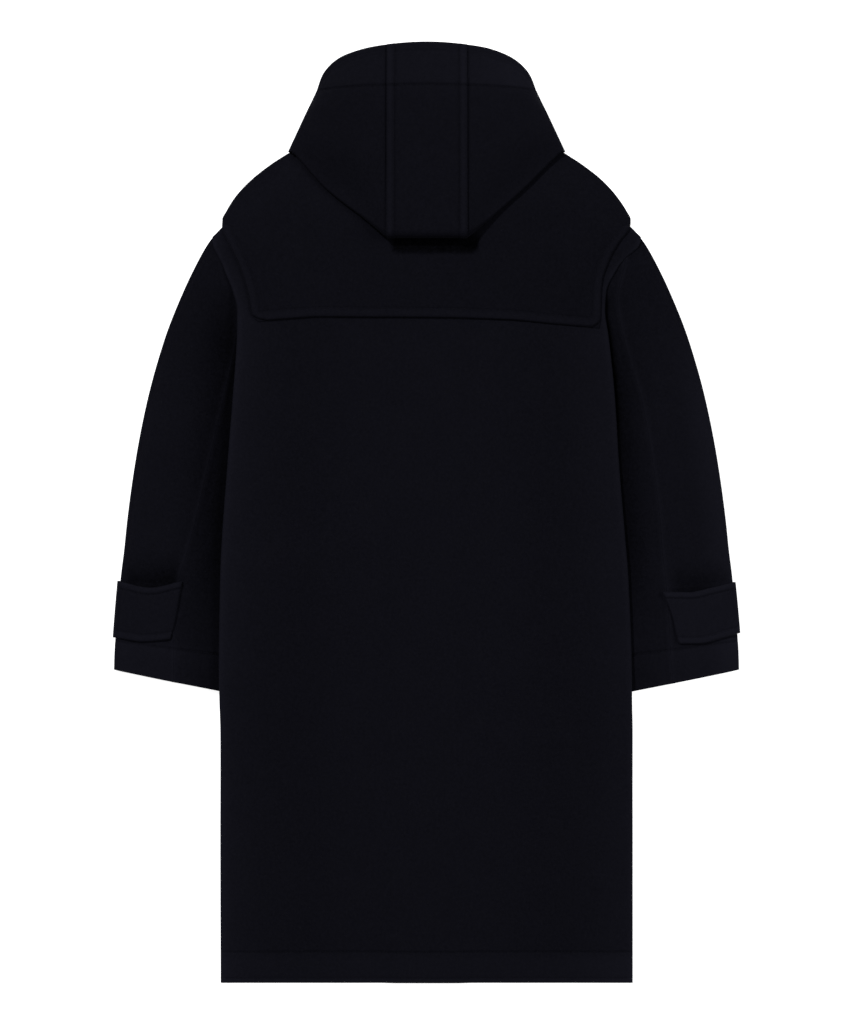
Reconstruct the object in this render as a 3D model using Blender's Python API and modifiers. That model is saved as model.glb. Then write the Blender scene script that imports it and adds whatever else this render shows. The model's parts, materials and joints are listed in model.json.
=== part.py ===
"""A long hooded duffle coat laid face down on a flat surface, hood folded onto its back.

The frame: +Y runs from the hem to the hood, +X to the right with the back facing up, and
+Z up from the surface. The origin is below the middle of the coat's outline.

Every piece is one wall of thick cloth. A surface is given by its outer face, row by row
from the tables below, and Solidify gives it its wall on the inner side. The layers, from
the surface up, are the sleeves, the two fronts, the back, the yoke and the hood. A piece
that lies on another is worked out from the upper face of that one, moved up.

Tables and sizes are in millimetres, and MM turns them into Blender's metres.
"""

from bisect import bisect_right
from collections import namedtuple
from math import cos, pi, radians, sin

import bmesh
import bpy
from mathutils import Vector

MM = 0.001

# Cloth and seams
WALL = 3.0  # thick double-milled melton
SEAM = 0.3  # gap between two pieces that are sewn together or lie on each other
SETTLE = 0.6  # air between the back and the fronts below it

# Body
OVERLAP = 36.0  # each front reaches this far past the middle
OVERLAP_END = 62.0  # where the upper front is down on the surface again
OVERLAP_LEVEL = 2.0  # how far outside the lower front's edge that descent starts
SIDE_TURN = 10.0  # cloth of the back turned under, up to the side seam
NO_TURN = 10.0  # degrees below which an edge is left plain
FULL_TURN = 170.0  # degrees from which an edge counts as turned right under
PART_TURN_TAIL = 3.0  # straight end of an edge that is turned part of the way
FRONT_INSET = 17.5  # from the outline in to a front's side edge
EDGE_BLEND = 38.0  # width over which the rounded side edge settles to the flat back
RAMP = 36.0  # width over which the fronts climb onto a sleeve
RAMP_CLEAR = 5.0  # how far inside the sleeve's inner edge that climb is over
NECK_STEP = 2.4  # spacing of the columns that end at the front neckline

# Sleeves and cuff straps
SLEEVE_LOFT = 3.2  # extra height of the sleeve where the body doesn't press on it
LOFT_FROM = 10.0  # width of sleeve showing at which that height starts
LOFT_FULL = 50.0  # and at which all of it is there
FRONT_SEAM = 0.38  # where the seam below lies, as a share of the sleeve's width
STRAP_TOP = -95.0
STRAP_BOTTOM = -165.0
STRAP_SAG = 5.0
STRAP_GAP = 0.6
STRAP_UNDER = 62.0  # how far the strap runs back below the sleeve

# Yoke
YOKE_TOP = 466.0
YOKE_GAP = 0.6  # from the back up to the yoke
YOKE_HEM_DEPTH = 18.0  # the rows that follow the lower edge's curve
YOKE_TURN = 8.0  # cloth of the yoke turned under at the shoulder
YOKE_PART_RADIUS = 5.0  # where that turn starts, at the shoulder's lower end
YOKE_PART_TAIL = 2.5
YOKE_EDGE_STEP = 1.4  # spacing of the outermost points along a plain edge

# Hood
HOOD_SEAM_LEFT = -47.5
HOOD_SEAM_RIGHT = 49.0
HOOD_FOLD_Y = 360.0
HOOD_NECK_RUN = 84.0  # from the lower fold back up to the neck seam, in the middle
HOOD_SIDE_RUN = 4.0  # the same run at the hood's sides
HOOD_CROWN_Y = 622.0
HOOD_CROWN_DROP = 3.3  # how much lower the open edge is at the long seams
HOOD_EDGE_RADIUS = 6.4
HOOD_EDGE_LIFT = 0.2
HOOD_REST = 13.7  # height of the hood's lower layer, on the thickest part of the yoke
HOOD_STRAIGHT = 4.0  # straight stretch of the fold beside each long seam

BodyRow = namedtuple("BodyRow", "y left right lift edge turn")
BODY = [  # outline; lift by the sleeve below; height of the rounded edge; degrees it turns
    BodyRow(-622, -272.0, 272.5, 0.0, 9.6, 180),
    BodyRow(-420, -272.5, 272.5, 0.0, 9.8, 180),
    BodyRow(-290, -272.0, 272.0, 0.0, 10.4, 180),
    BodyRow(-248, -273.0, 271.0, 11.0, 11.0, 180),
    BodyRow(-205, -273.5, 270.5, 14.6, 11.4, 180),
    BodyRow(-80, -271.5, 265.5, 14.6, 11.4, 180),
    BodyRow(-35, -269.5, 262.0, 11.2, 11.4, 180),
    BodyRow(68, -262.0, 253.5, 10.9, 11.4, 180),
    BodyRow(150, -255.5, 248.5, 10.9, 11.0, 180),
    BodyRow(232, -250.0, 240.0, 10.9, 10.4, 180),
    BodyRow(265, -249.5, 235.5, 10.9, 10.0, 180),
    BodyRow(290, -255.0, 237.0, 10.9, 9.8, 180),
    BodyRow(317, -266.0, 249.5, 11.3, 9.6, 180),
    BodyRow(335, -274.0, 264.0, 11.3, 9.4, 150),
    BodyRow(351, -281.0, 280.0, 10.8, 9.0, 90),
    BodyRow(361, -282.5, 283.0, 9.9, 8.0, 50),
    BodyRow(374, -258.0, 258.0, 8.4, 6.6, 0),
    BodyRow(386, -252.0, 252.0, 3.6, 6.6, 0),
    BodyRow(398, -247.0, 247.0, 0.0, 6.6, 0),
    BodyRow(427, -228.0, 228.0, 0.0, 6.6, 0),
    BodyRow(458, -192.0, 192.0, 0.0, 6.6, 0),
]

YokeRow = namedtuple("YokeRow", "y left right turn")
YOKE = [
    YokeRow(247, -221.0, 227.0, 0),
    YokeRow(258, -230.0, 229.5, 0),
    YokeRow(278, -233.0, 230.0, 0),
    YokeRow(302, -238.0, 231.5, 0),
    YokeRow(331, -247.5, 240.5, 0),
    YokeRow(359, -262.0, 256.5, 0),
    YokeRow(374, -269.5, 268.0, 0),
    YokeRow(386, -269.5, 269.5, 90),
    YokeRow(398, -264.0, 264.0, 180),
    YokeRow(417, -252.0, 251.5, 180),
    YokeRow(438, -232.5, 232.5, 180),
    YokeRow(459, -206.0, 206.0, 180),
    YokeRow(466, -195.0, 195.0, 180),
]
YokeHem = namedtuple("YokeHem", "x y")
YOKE_HEM = [
    YokeHem(-229, 250),
    YokeHem(-190, 253.5),
    YokeHem(-136, 257),
    YokeHem(28, 256),
    YokeHem(110, 253),
    YokeHem(170, 247),
    YokeHem(229, 242),
]

# A sleeve: the outer and inner edges' distances from the middle, the back seam's on each
# side, the height of its underside, its thickness, and how much lower down the coat its
# inner edge is than its outer one.
SleeveRow = namedtuple("SleeveRow", "y outer inner seam_left seam_right floor thick tilt")
SLEEVE = [
    SleeveRow(-208, 413.0, 252.0, 333, 325, 0.0, 10.3, -33),
    SleeveRow(-178, 411.5, 249.0, 333, 322, 3.8, 10.3, -24),
    SleeveRow(-150, 409.5, 246.0, 334, 320, 3.8, 10.3, -15),
    SleeveRow(-85, 403.5, 240.0, 326, 315, 3.8, 10.3, -6),
    SleeveRow(-50, 399.5, 235.0, 315, 311, 0.5, 10.3, -3),
    SleeveRow(-11, 395.5, 230.0, 305, 308, 0.0, 10.3, 0),
    SleeveRow(68, 384.5, 216.0, 287, 298, 0.0, 10.3, 0),
    SleeveRow(147, 369.0, 198.0, 269, 284, 0.0, 10.3, 0),
    SleeveRow(227, 346.5, 188.0, 252, 261, 0.0, 10.3, 0),
    SleeveRow(279, 326.5, 194.0, 248, 252, 0.0, 10.3, 0),
    SleeveRow(332, 301.5, 222.0, 260, 262, 0.0, 10.3, 0),
    SleeveRow(370, 279.0, 246.0, 265, 265, 0.0, 7.5, 0),
]

FrontNeck = namedtuple("FrontNeck", "y reach")
FRONT_NECK = [  # how far past the middle a front reaches; negative short of it
    FrontNeck(374, 36),
    FrontNeck(386, -30),
    FrontNeck(398, -44),
    FrontNeck(427, -104),
    FrontNeck(458, -150),
]

# The hood's lower fold and its open edge, from the seam of the middle strip to the side.
HoodRow = namedtuple("HoodRow", "fold_x fold_y edge_x edge_y")
HOOD_LEFT = [
    HoodRow(-51.65, 360.0, -51.65, 618.5),
    HoodRow(-80.0, 384.5, -83.0, 612.5),
    HoodRow(-113.0, 409.5, -115.0, 600.5),
    HoodRow(-149.0, 437.5, -136.0, 581.0),
    HoodRow(-184.0, 472.0, -146.0, 556.0),
]
HOOD_RIGHT = [
    HoodRow(53.15, 360.0, 53.15, 618.3),
    HoodRow(80.0, 382.5, 84.0, 612.5),
    HoodRow(113.0, 412.0, 114.0, 600.0),
    HoodRow(149.0, 441.5, 135.0, 581.0),
    HoodRow(184.5, 472.0, 146.0, 556.0),
]
HoodHeight = namedtuple("HoodHeight", "along middle side")
HOOD_HEIGHT = [  # upper face, from the lower fold (0) to the open edge (1)
    HoodHeight(0.0, 35.5, 23.5),
    HoodHeight(0.2, 38.0, 22.0),
    HoodHeight(0.45, 36.0, 19.0),
    HoodHeight(0.7, 27.0, 15.0),
    HoodHeight(0.88, 15.5, 11.0),
    HoodHeight(1.0, 9.4, 9.4),
]
HOOD_SIDE_POWER = 3  # how late the hood drops from its middle height to its side height
# The hood's front corner, turned below: the far edge's ends.
HOOD_CORNER_LOW = (-27.0, 402.0)
HOOD_CORNER_HIGH = (-122.0, 545.0)

NAVY = (0.0046, 0.0046, 0.0072, 1.0)
CLOTH_ROUGHNESS = 0.92

# How finely each piece is divided
BODY_ROW_GAP = 64.0  # rows of the body are no further apart than about this
ROLL_STEPS = 4
SLEEVE_ROWS = 18
HOOD_ROWS = 11
HOOD_SIDE_COLUMNS = 8
HOOD_MIDDLE_COLUMNS = 4


def clear_scene():
    for old in list(bpy.data.objects):
        bpy.data.objects.remove(old, do_unlink=True)


def spread(start, stop, steps):
    """Evenly spaced numbers, both ends included."""
    return [start + (stop - start) * k / steps for k in range(steps + 1)]


def ease(start, stop, value):
    """0 up to start, 1 from stop on, and a smooth step between them."""
    part = min(max((value - start) / (stop - start), 0.0), 1.0)
    return part * part * (3 - 2 * part)


def read(table, column, key):
    """A column of a table at a value of its first column, on a smooth curve that never
    overshoots the rows."""
    keys = [row[0] for row in table]
    values = [getattr(row, column) for row in table]
    key = min(max(key, keys[0]), keys[-1])
    i = min(bisect_right(keys, key), len(keys) - 1) - 1
    steps = [(b - a) / (q - p) for a, b, p, q in zip(values, values[1:], keys, keys[1:])]

    def slope(k):
        if k == 0 or k == len(steps):
            return steps[min(k, len(steps) - 1)]
        before, after = steps[k - 1], steps[k]
        return 0.0 if before * after <= 0 else 2 * before * after / (before + after)

    width = keys[i + 1] - keys[i]
    t = (key - keys[i]) / width
    bend = slope(i) * (1 - t) - slope(i + 1) * t
    straight = steps[i] * (1 - 2 * t)
    return values[i] + t * width * (steps[i] + (1 - t) * (bend - straight))


def by_share(table, share):
    """A whole row between the rows of a table, share running from 0 to 1 along it."""
    place = min(share, 0.9999) * (len(table) - 1)
    i = int(place)
    t = place - i
    first, last = table[max(i - 1, 0)], table[min(i + 2, len(table) - 1)]
    row = []
    for a, b, c, d in zip(first, table[i], table[i + 1], last):
        row.append(
            b + 0.5 * t * (c - a + t * (2 * a - 5 * b + 4 * c - d + t * (3 * (b - c) + d - a)))
        )
    return type(table[0])(*row)


def rolled_edge(edge, top, radius, turn, tail):
    """(x, z) from the end of a left-hand edge's turned-under cloth up to its flat top.

    The cloth comes from the right at height top, turns down through so many degrees round
    the radius, and runs straight on for tail. Its furthest point left is at x = edge."""
    angle = radians(turn)
    reach = radius if turn >= 90 else radius * sin(angle) + tail * cos(angle)
    centre_x, centre_z = edge + reach, top - radius
    points = [
        (centre_x - radius * sin(a), centre_z + radius * cos(a))
        for a in spread(angle, 0.0, ROLL_STEPS)
    ]
    end_x, end_z = points[0]
    return [(end_x - tail * cos(angle), end_z - tail * sin(angle))] + points


def plain_edge(edge, top, step):
    """As many points as a rolled edge has, along a flat one."""
    return [(edge + k * step, top) for k in range(ROLL_STEPS + 2)]


def mirrored(points):
    return [(-x, z) for x, z in reversed(points)]


# --- the body's stacked layers --------------------------------------------------------------


def body_levels():
    """Heights along Y of the rows that the fronts, the back and the yoke share."""
    levels = [BODY[0].y]
    for row, after in zip(BODY, BODY[1:]):
        steps = max(1, round((after.y - row.y) / BODY_ROW_GAP))
        levels += spread(row.y, after.y, steps)[1:]
    return levels


def climb(y, outline):
    """Distances from the middle where the body starts to climb onto the sleeve and is up."""
    up = min(read(SLEEVE, "inner", y), outline - FRONT_INSET) - RAMP_CLEAR
    return up - RAMP, up


def stations(y, outline):
    """Distances from the middle of the columns that the layers share, from the front's
    side edge in to the middle."""
    low, up = climb(y, outline)
    across_ramp = [up, up - RAMP * 0.3, up - RAMP * 0.7, low]
    level = OVERLAP + OVERLAP_LEVEL
    step_over = [OVERLAP_END, (level + OVERLAP_END) / 2, level]
    return [outline - FRONT_INSET] + across_ramp + [(low + OVERLAP_END) / 2] + step_over


def outline_at(x, y):
    return read(BODY, "right", y) if x > 0 else -read(BODY, "left", y)


def carried(x, y):
    """Height that the sleeve below gives to the body's underside."""
    return read(BODY, "lift", y) * ease(*climb(y, outline_at(x, y)), abs(x))


def front_over_front(x):
    """Height that the overlap of the fronts adds to what lies on it."""
    return (WALL + SEAM) * (1 - ease(OVERLAP + OVERLAP_LEVEL, OVERLAP_END, abs(x)))


def back_top(x, y):
    """Upper face of the back, with its side edges standing up a little."""
    flat = 2 * WALL + SETTLE
    edge = read(BODY, "edge", y)
    near_edge = 1 - ease(edge / 2, EDGE_BLEND, outline_at(x, y) - abs(x))
    return carried(x, y) + flat + front_over_front(x) + (edge - flat) * near_edge


def along_row(row, x):
    """Height at x on a row of points, straight between one and the next."""
    for (x0, z0), (x1, z1) in zip(row, row[1:]):
        if x0 <= x <= x1:
            return z0 + (z1 - z0) * (x - x0) / (x1 - x0)
    return row[0][1] if x < row[0][0] else row[-1][1]


# --- from surface to object ----------------------------------------------------------------


def cloth_material(name):
    material = bpy.data.materials.new(f"{name} melton")
    material.use_nodes = True
    shader = material.node_tree.nodes["Principled BSDF"]
    shader.inputs["Base Color"].default_value = NAVY
    shader.inputs["Roughness"].default_value = CLOTH_ROUGHNESS
    shader.inputs["Metallic"].default_value = 0.0
    material.diffuse_color = NAVY
    return material


def cloth_piece(name, rows, left_out=()):
    """A wall of cloth under a grid of outer points, given in rows from left to right.

    left_out holds (row, column) places of the grid that the piece doesn't have."""
    across, along = len(rows[0]), len(rows)
    grid = bmesh.new()
    bmesh.ops.create_grid(grid, x_segments=across - 1, y_segments=along - 1, size=1.0)
    grid.verts.ensure_lookup_table()
    for i, row in enumerate(rows):
        for j, point in enumerate(row):
            grid.verts[i * across + j].co = Vector(point) * MM
    gone = [grid.verts[i * across + j] for i, j in left_out]
    bmesh.ops.delete(grid, geom=gone, context="VERTS")
    mesh = bpy.data.meshes.new(name)
    grid.to_mesh(mesh)
    grid.free()
    mesh.shade_smooth()
    piece = bpy.data.objects.new(name, mesh)
    piece.data.materials.append(cloth_material(name))
    wall = piece.modifiers.new("wall", "SOLIDIFY")
    wall.thickness = WALL * MM
    wall.offset = -1.0
    coat.objects.link(piece)
    return piece


# --- body ----------------------------------------------------------------------------------


def back_row(y):
    """The back's cross-section: its left side edge, its flat points and its right side edge."""
    sides, inner = [], []
    for side in (-1, 1):
        outline = outline_at(side, y)
        radius = read(BODY, "edge", y) / 2
        turn = read(BODY, "turn", y)
        top = back_top(side * outline, y)
        if turn < NO_TURN:
            rolled = plain_edge(-outline, top, YOKE_EDGE_STEP)
        else:
            tail = SIDE_TURN if turn > FULL_TURN else PART_TURN_TAIL
            rolled = rolled_edge(-outline, top, radius, turn, tail)
        rolled.append((-outline + (radius + FRONT_INSET) / 2 + 1.0, top))
        sides.append(rolled)
        inner.append([(side * x, back_top(side * x, y)) for x in stations(y, outline)])
    return sides[0], inner[0] + [(0.0, back_top(0.0, y))] + inner[1][::-1], mirrored(sides[1])


def upper_row(y):
    """The back's upper face at y, straight between the rows that it is built from."""
    levels = body_levels()
    y = min(max(y, levels[0]), levels[-1])
    i = min(bisect_right(levels, y), len(levels) - 1)
    part = (y - levels[i - 1]) / (levels[i] - levels[i - 1])
    ends = []
    for level in (levels[i - 1], levels[i]):
        left, flat, right = back_row(level)
        ends.append(left[-1:] + flat + right[:1])
    return [
        (x0 + (x1 - x0) * part, z0 + (z1 - z0) * part) for (x0, z0), (x1, z1) in zip(*ends)
    ]


def back_panel():
    """One piece from side seam to side seam, turned under at both sides."""
    rows = []
    for y in body_levels():
        left, flat, right = back_row(y)
        rows.append([(x, y, z) for x, z in left + flat + right])
    cloth_piece("back_panel", rows)


def front(name, side):
    """A front, flat on the surface; side is -1 for the left of the frame and 1 for the right.

    The right one passes over the left one at the middle."""
    rows = []
    for y in body_levels():
        if y > FRONT_NECK[-1].y:
            break
        shared = stations(y, outline_at(side, y)) + [0.0, -OVERLAP]
        stop = -read(FRONT_NECK, "reach", y)
        step_ends = 1 - ease(FRONT_NECK[1].y, FRONT_NECK[2].y, y)
        row = []
        for k, x in enumerate(shared):
            x = max(x, stop + NECK_STEP * (len(shared) - 1 - k))
            over = front_over_front(max(x, 0.0)) * step_ends if side > 0 else 0.0
            row.append((side * x, y, carried(side * x, y) + WALL + over))
        rows.append(row if side < 0 else row[::-1])
    cloth_piece(name, rows)


# --- sleeves -------------------------------------------------------------------------------


def sleeve_section(y, seam, offset=0.0):
    """A left-hand sleeve's cross-section at height y: the outer part's points, from the
    seam below round the outer edge to the back seam, and the inner part's from there on."""
    outer, inner = -read(SLEEVE, "outer", y), -read(SLEEVE, "inner", y)
    back_seam = -read(SLEEVE, seam, y)
    floor = read(SLEEVE, "floor", y)
    thick = read(SLEEVE, "thick", y)
    radius = thick / 2
    width = inner - outer
    below = outer + FRONT_SEAM * width

    shown = -outline_at(-1 if seam == "seam_left" else 1, y) - outer - RAMP_CLEAR

    def top(x):
        share = min(max((x - outer) / max(shown, 1.0), 0.0), 1.0)
        return floor + thick + SLEEVE_LOFT * sin(pi * share) * ease(LOFT_FROM, LOFT_FULL, shown)

    def turned(edge, way):
        ends = rolled_edge(way * edge, top(edge), radius, 180, 0.0)[1:]
        return ends if way > 0 else mirrored(ends)

    round_outer, round_inner = turned(outer, 1), turned(inner, -1)
    start, stop = round_outer[-1][0], round_inner[0][0]
    outer_part = [(below - SEAM / 2, floor), ((below + start) / 2, floor)] + round_outer
    outer_part += [(x, top(x)) for x in spread(start, back_seam - SEAM / 2, 4)[1:]]
    inner_part = [(x, top(x)) for x in spread(back_seam + SEAM / 2, stop, 3)[:-1]]
    inner_part += round_inner + [((below + stop) / 2, floor), (below + SEAM / 2, floor)]
    tilt = read(SLEEVE, "tilt", y)

    def placed(points):
        return [(x, y + tilt * (x - outer) / width, z) for x, z in points]

    return placed(outer_part), placed(inner_part)


def handed(rows, side):
    """Rows made for the left side, or mirrored for the right one."""
    if side < 0:
        return rows
    return [[(-x, y, z) for x, y, z in reversed(row)] for row in rows]


def sleeve(name, side):
    seam = "seam_left" if side < 0 else "seam_right"
    levels = spread(SLEEVE[0].y, SLEEVE[-1].y, SLEEVE_ROWS)
    sections = [sleeve_section(y, seam) for y in levels]
    cloth_piece(f"sleeve_outer_{name}", handed([outer for outer, _ in sections], side))
    cloth_piece(f"sleeve_inner_{name}", handed([inner for _, inner in sections], side))


def cuff_strap(name, side):
    """A band round the sleeve's outer edge, from the back seam to below, moved out from
    the sleeve by the seam gap."""
    seam = "seam_left" if side < 0 else "seam_right"
    out = STRAP_GAP + WALL
    rows = []
    for y in spread(STRAP_BOTTOM, STRAP_TOP, 4):
        points, _ = sleeve_section(y, seam)
        outer = points[0][0]
        edge = min(x for x, _, _ in points)
        row = []
        for k, (x, at_y, z) in enumerate(points):
            before, after = points[max(k - 1, 0)], points[min(k + 1, len(points) - 1)]
            along = Vector((after[0] - before[0], after[2] - before[2])).normalized()
            if k == 0:
                x = edge + STRAP_UNDER
            sag = STRAP_SAG * sin(pi * min((x - edge) / (points[-1][0] - edge), 1.0))
            row.append((x - along.y * out, at_y - sag, z + along.x * out))
        rows.append(row)
    cloth_piece(f"cuff_strap_{name}", handed(rows, side))


# --- yoke ----------------------------------------------------------------------------------


def yoke():
    """The shoulder cape: its lower edge free on the back, its upper sides over the shoulders.

    It keeps the back's columns, so it lies on the back all over."""
    low = YOKE[0].y
    above_hem = [y for y in body_levels() if y >= low + YOKE_HEM_DEPTH]
    rows = []
    for level in spread(low, low + YOKE_HEM_DEPTH, 2)[:-1] + above_hem + [YOKE_TOP]:
        share = max(1 - (level - low) / YOKE_HEM_DEPTH, 0.0)
        turn = read(YOKE, "turn", level)
        sides = []
        for column, way in (("left", -1), ("right", 1)):
            edge = abs(read(YOKE, column, level))
            top = along_row(upper_row(level), way * edge) + YOKE_GAP + WALL
            if turn < NO_TURN:
                sides.append(plain_edge(-edge, top, YOKE_EDGE_STEP))
            elif turn > FULL_TURN:
                sides.append(rolled_edge(-edge, top, top / 2, turn, YOKE_TURN))
            else:
                sides.append(rolled_edge(-edge, top, YOKE_PART_RADIUS, turn, YOKE_PART_TAIL))
        row = []
        for x, z in sides[0] + upper_row(level)[2:-2] + mirrored(sides[1]):
            y = level + (read(YOKE_HEM, "y", x) - low) * share
            rolled = turn >= NO_TURN and (x <= sides[0][-1][0] or x >= -sides[1][-1][0])
            row.append((x, y, z if rolled else along_row(upper_row(y), x) + YOKE_GAP + WALL))
        rows.append(row)
    cloth_piece("yoke", rows)


# --- hood ----------------------------------------------------------------------------------


def hood_line(place, share, inward=0.0):
    """One line of the hood from its neck seam, below, round the lower fold and over the top
    to its open edge. share is 0 in the middle strip and 1 at the side. inward, 1 or -1,
    moves the line in along X by the radius that the side then turns down through."""
    fold = Vector((place.fold_x + inward * HOOD_HEIGHT[0].side / 2, place.fold_y))
    edge = Vector((place.edge_x + inward * HOOD_HEIGHT[-1].side / 2, place.edge_y))
    down = (fold - edge).normalized()
    drop = share**HOOD_SIDE_POWER

    def top(along):
        middle, side = (read(HOOD_HEIGHT, column, along) for column in ("middle", "side"))
        return middle + (side - middle) * drop

    radius = (top(0.0) - HOOD_REST) / 2
    turn_from = fold - down * radius
    run = HOOD_SIDE_RUN + (HOOD_NECK_RUN - HOOD_SIDE_RUN) * (1 - share)
    line = []
    for back in (run, run / 2, 0.0):
        at = turn_from - down * back
        line.append((at.x, at.y, HOOD_REST))
    for a in spread(pi, 0.0, ROLL_STEPS + 1)[1:-1]:
        at = turn_from + down * radius * sin(a)
        line.append((at.x, at.y, HOOD_REST + radius + radius * cos(a)))
    turn_to = edge + down * HOOD_EDGE_RADIUS
    top_start = len(line)
    for along in spread(0.0, 1.0, HOOD_ROWS):
        at = turn_from.lerp(turn_to, along)
        line.append((at.x, at.y, top(along)))
    for a in (45, 90):
        at = turn_to - down * HOOD_EDGE_RADIUS * sin(radians(a))
        line.append((at.x, at.y, top(1.0) - HOOD_EDGE_RADIUS * (1 - cos(radians(a)))))
    line.append((edge.x, edge.y, HOOD_EDGE_LIFT))
    return line, top_start


def hood_middle():
    """The strip between the hood's two long seams."""
    lines = []
    for x in spread(HOOD_SEAM_LEFT + SEAM / 2, HOOD_SEAM_RIGHT - SEAM / 2, HOOD_MIDDLE_COLUMNS):
        crown = HOOD_CROWN_Y - HOOD_CROWN_DROP * (x / HOOD_SEAM_RIGHT) ** 2
        lines.append(hood_line(HoodRow(x, HOOD_FOLD_Y, x, crown), 0.0)[0])
    cloth_piece("hood_centre", [list(row) for row in zip(*lines)])


def hood_side(name, table, side):
    """A side of the hood. Past the shoulder its outer edge turns below to the front neck."""
    first = table[0]
    beside_seam = first._replace(
        fold_x=first.fold_x - side * HOOD_STRAIGHT, edge_x=first.edge_x - side * HOOD_STRAIGHT
    )
    lines = [hood_line(beside_seam, 0.0)[0]]
    for share in spread(0.0, 1.0, HOOD_SIDE_COLUMNS):
        place = by_share(table, share)
        line, top_start = hood_line(place, share, -side * ease(0.5, 1.0, share))
        lines.append(line)
    low = Vector((-side * HOOD_CORNER_LOW[0], HOOD_CORNER_LOW[1]))
    high = Vector((-side * HOOD_CORNER_HIGH[0], HOOD_CORNER_HIGH[1]))
    last = lines[-1]
    top_stop = top_start + HOOD_ROWS
    turned = [[] for _ in range(ROLL_STEPS + 2)]
    for k, (x, y, z) in enumerate(last):
        radius = z / 2
        along = min(max((k - top_start) / HOOD_ROWS, 0.0), 1.0)
        far = low.lerp(high, along)
        for step in range(ROLL_STEPS):
            a = pi * (step + 1) / ROLL_STEPS
            turned[step].append((x + side * radius * sin(a), y, radius + radius * cos(a)))
        for step, part in ((ROLL_STEPS, 0.5), (ROLL_STEPS + 1, 1.0)):
            turned[step].append((x + (far.x - x) * part, y + (far.y - y) * part, 0.0))
    lines += turned
    missing = [
        (row, column)
        for row in range(len(last))
        for column in range(HOOD_SIDE_COLUMNS + 2, len(lines))
        if not top_start <= row <= top_stop
    ]
    if side < 0:
        lines = lines[::-1]
        missing = [(row, len(lines) - 1 - column) for row, column in missing]
    rows = [list(row) for row in zip(*lines)]
    cloth_piece(f"hood_side_{name}", rows, left_out=missing)


clear_scene()
coat = bpy.data.collections.new("duffle_coat")
bpy.context.scene.collection.children.link(coat)

for side_name, hand in (("left", -1), ("right", 1)):
    sleeve(side_name, hand)
    cuff_strap(side_name, hand)
    front(f"front_{side_name}", hand)
back_panel()
yoke()
hood_middle()
hood_side("left", HOOD_LEFT, -1)
hood_side("right", HOOD_RIGHT, 1)
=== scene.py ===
import json
from math import cos, hypot, pi, radians, sin

import bmesh
import bpy
import numpy as np
from mathutils import Matrix, Vector, noise
from mathutils.bvhtree import BVHTree

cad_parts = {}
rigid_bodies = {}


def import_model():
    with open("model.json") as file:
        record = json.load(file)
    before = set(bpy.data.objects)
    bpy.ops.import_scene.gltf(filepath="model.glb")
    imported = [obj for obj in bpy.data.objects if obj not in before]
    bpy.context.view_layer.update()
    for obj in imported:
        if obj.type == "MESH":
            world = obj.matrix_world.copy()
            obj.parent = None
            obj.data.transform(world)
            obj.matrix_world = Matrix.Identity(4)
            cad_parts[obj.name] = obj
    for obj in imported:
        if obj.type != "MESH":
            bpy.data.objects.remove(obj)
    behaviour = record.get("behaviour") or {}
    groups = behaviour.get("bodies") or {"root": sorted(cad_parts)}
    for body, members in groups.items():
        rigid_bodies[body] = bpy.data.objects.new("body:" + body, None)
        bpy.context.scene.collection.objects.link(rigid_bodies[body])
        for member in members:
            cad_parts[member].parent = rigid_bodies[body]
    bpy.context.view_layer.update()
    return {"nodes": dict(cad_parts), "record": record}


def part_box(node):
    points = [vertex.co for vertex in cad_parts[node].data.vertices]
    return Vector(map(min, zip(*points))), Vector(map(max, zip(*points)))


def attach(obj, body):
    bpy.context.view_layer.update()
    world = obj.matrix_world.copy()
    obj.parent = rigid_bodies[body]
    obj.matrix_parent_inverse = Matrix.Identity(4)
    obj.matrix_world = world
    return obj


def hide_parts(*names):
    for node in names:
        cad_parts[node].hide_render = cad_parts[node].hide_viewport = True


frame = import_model()
MM = 0.001
scene = bpy.context.scene
print("panels in the packed model:", ", ".join(sorted(frame["nodes"])))

# %% [markdown]
# ## Sizes
#
# Sizes are in millimetres, as a cutter would write them, and turn into metres in one place.
# The wall is one thickness of melton. Panels that are sewn together leave a hair of space.
# %% Sizes of the cloth and its edges
WALL = 3.0  # thick double-milled melton
SEAM = 0.3  # between two pieces that are sewn together
LAYER = 0.6  # between two pieces that lie on each other
ROLL_STEPS = 10  # steps round a turned edge
GRAIN = 5.0  # how far apart the lines of a panel's mesh are where nothing finer is needed

# Body
OVERLAP = 36.0  # each front reaches this far past the middle
OVERLAP_END = 62.0
SIDE_TURN = 10.0
FRONT_INSET = 17.5
EDGE_BLEND = 38.0
RAMP = 36.0  # width over which the fronts climb onto a sleeve
BACK_RAMP = 125.0  # the back spans that step with a much gentler slope
EDGE_SHARE = 0.72  # the back's side rolls, as a share of the plain solid's
RAMP_CLEAR = 5.0
HEM_DEPTH = 41.0  # from the hem's edge up to its stitches
HEM_EDGE_STITCH = 6.6

# Sleeves and cuff straps
SLEEVE_LOFT = 3.2
FRONT_SEAM = 0.38
CUFF_DEPTH = 38.0
STRAP_TOP = -95.0
STRAP_BOTTOM = -165.0
STRAP_UNDER = 62.0
STRAP_STITCH = 9.0  # from the strap's edges in to its stitches
STRAP_REACH = 325.0  # about how far from the middle of the coat its end lies

# Yoke
YOKE_TOP = 478.0
YOKE_STITCH = 12.0
YOKE_HEM_DEPTH = 18.0
YOKE_CORNER = 14.0  # radius of its lower corners

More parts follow.
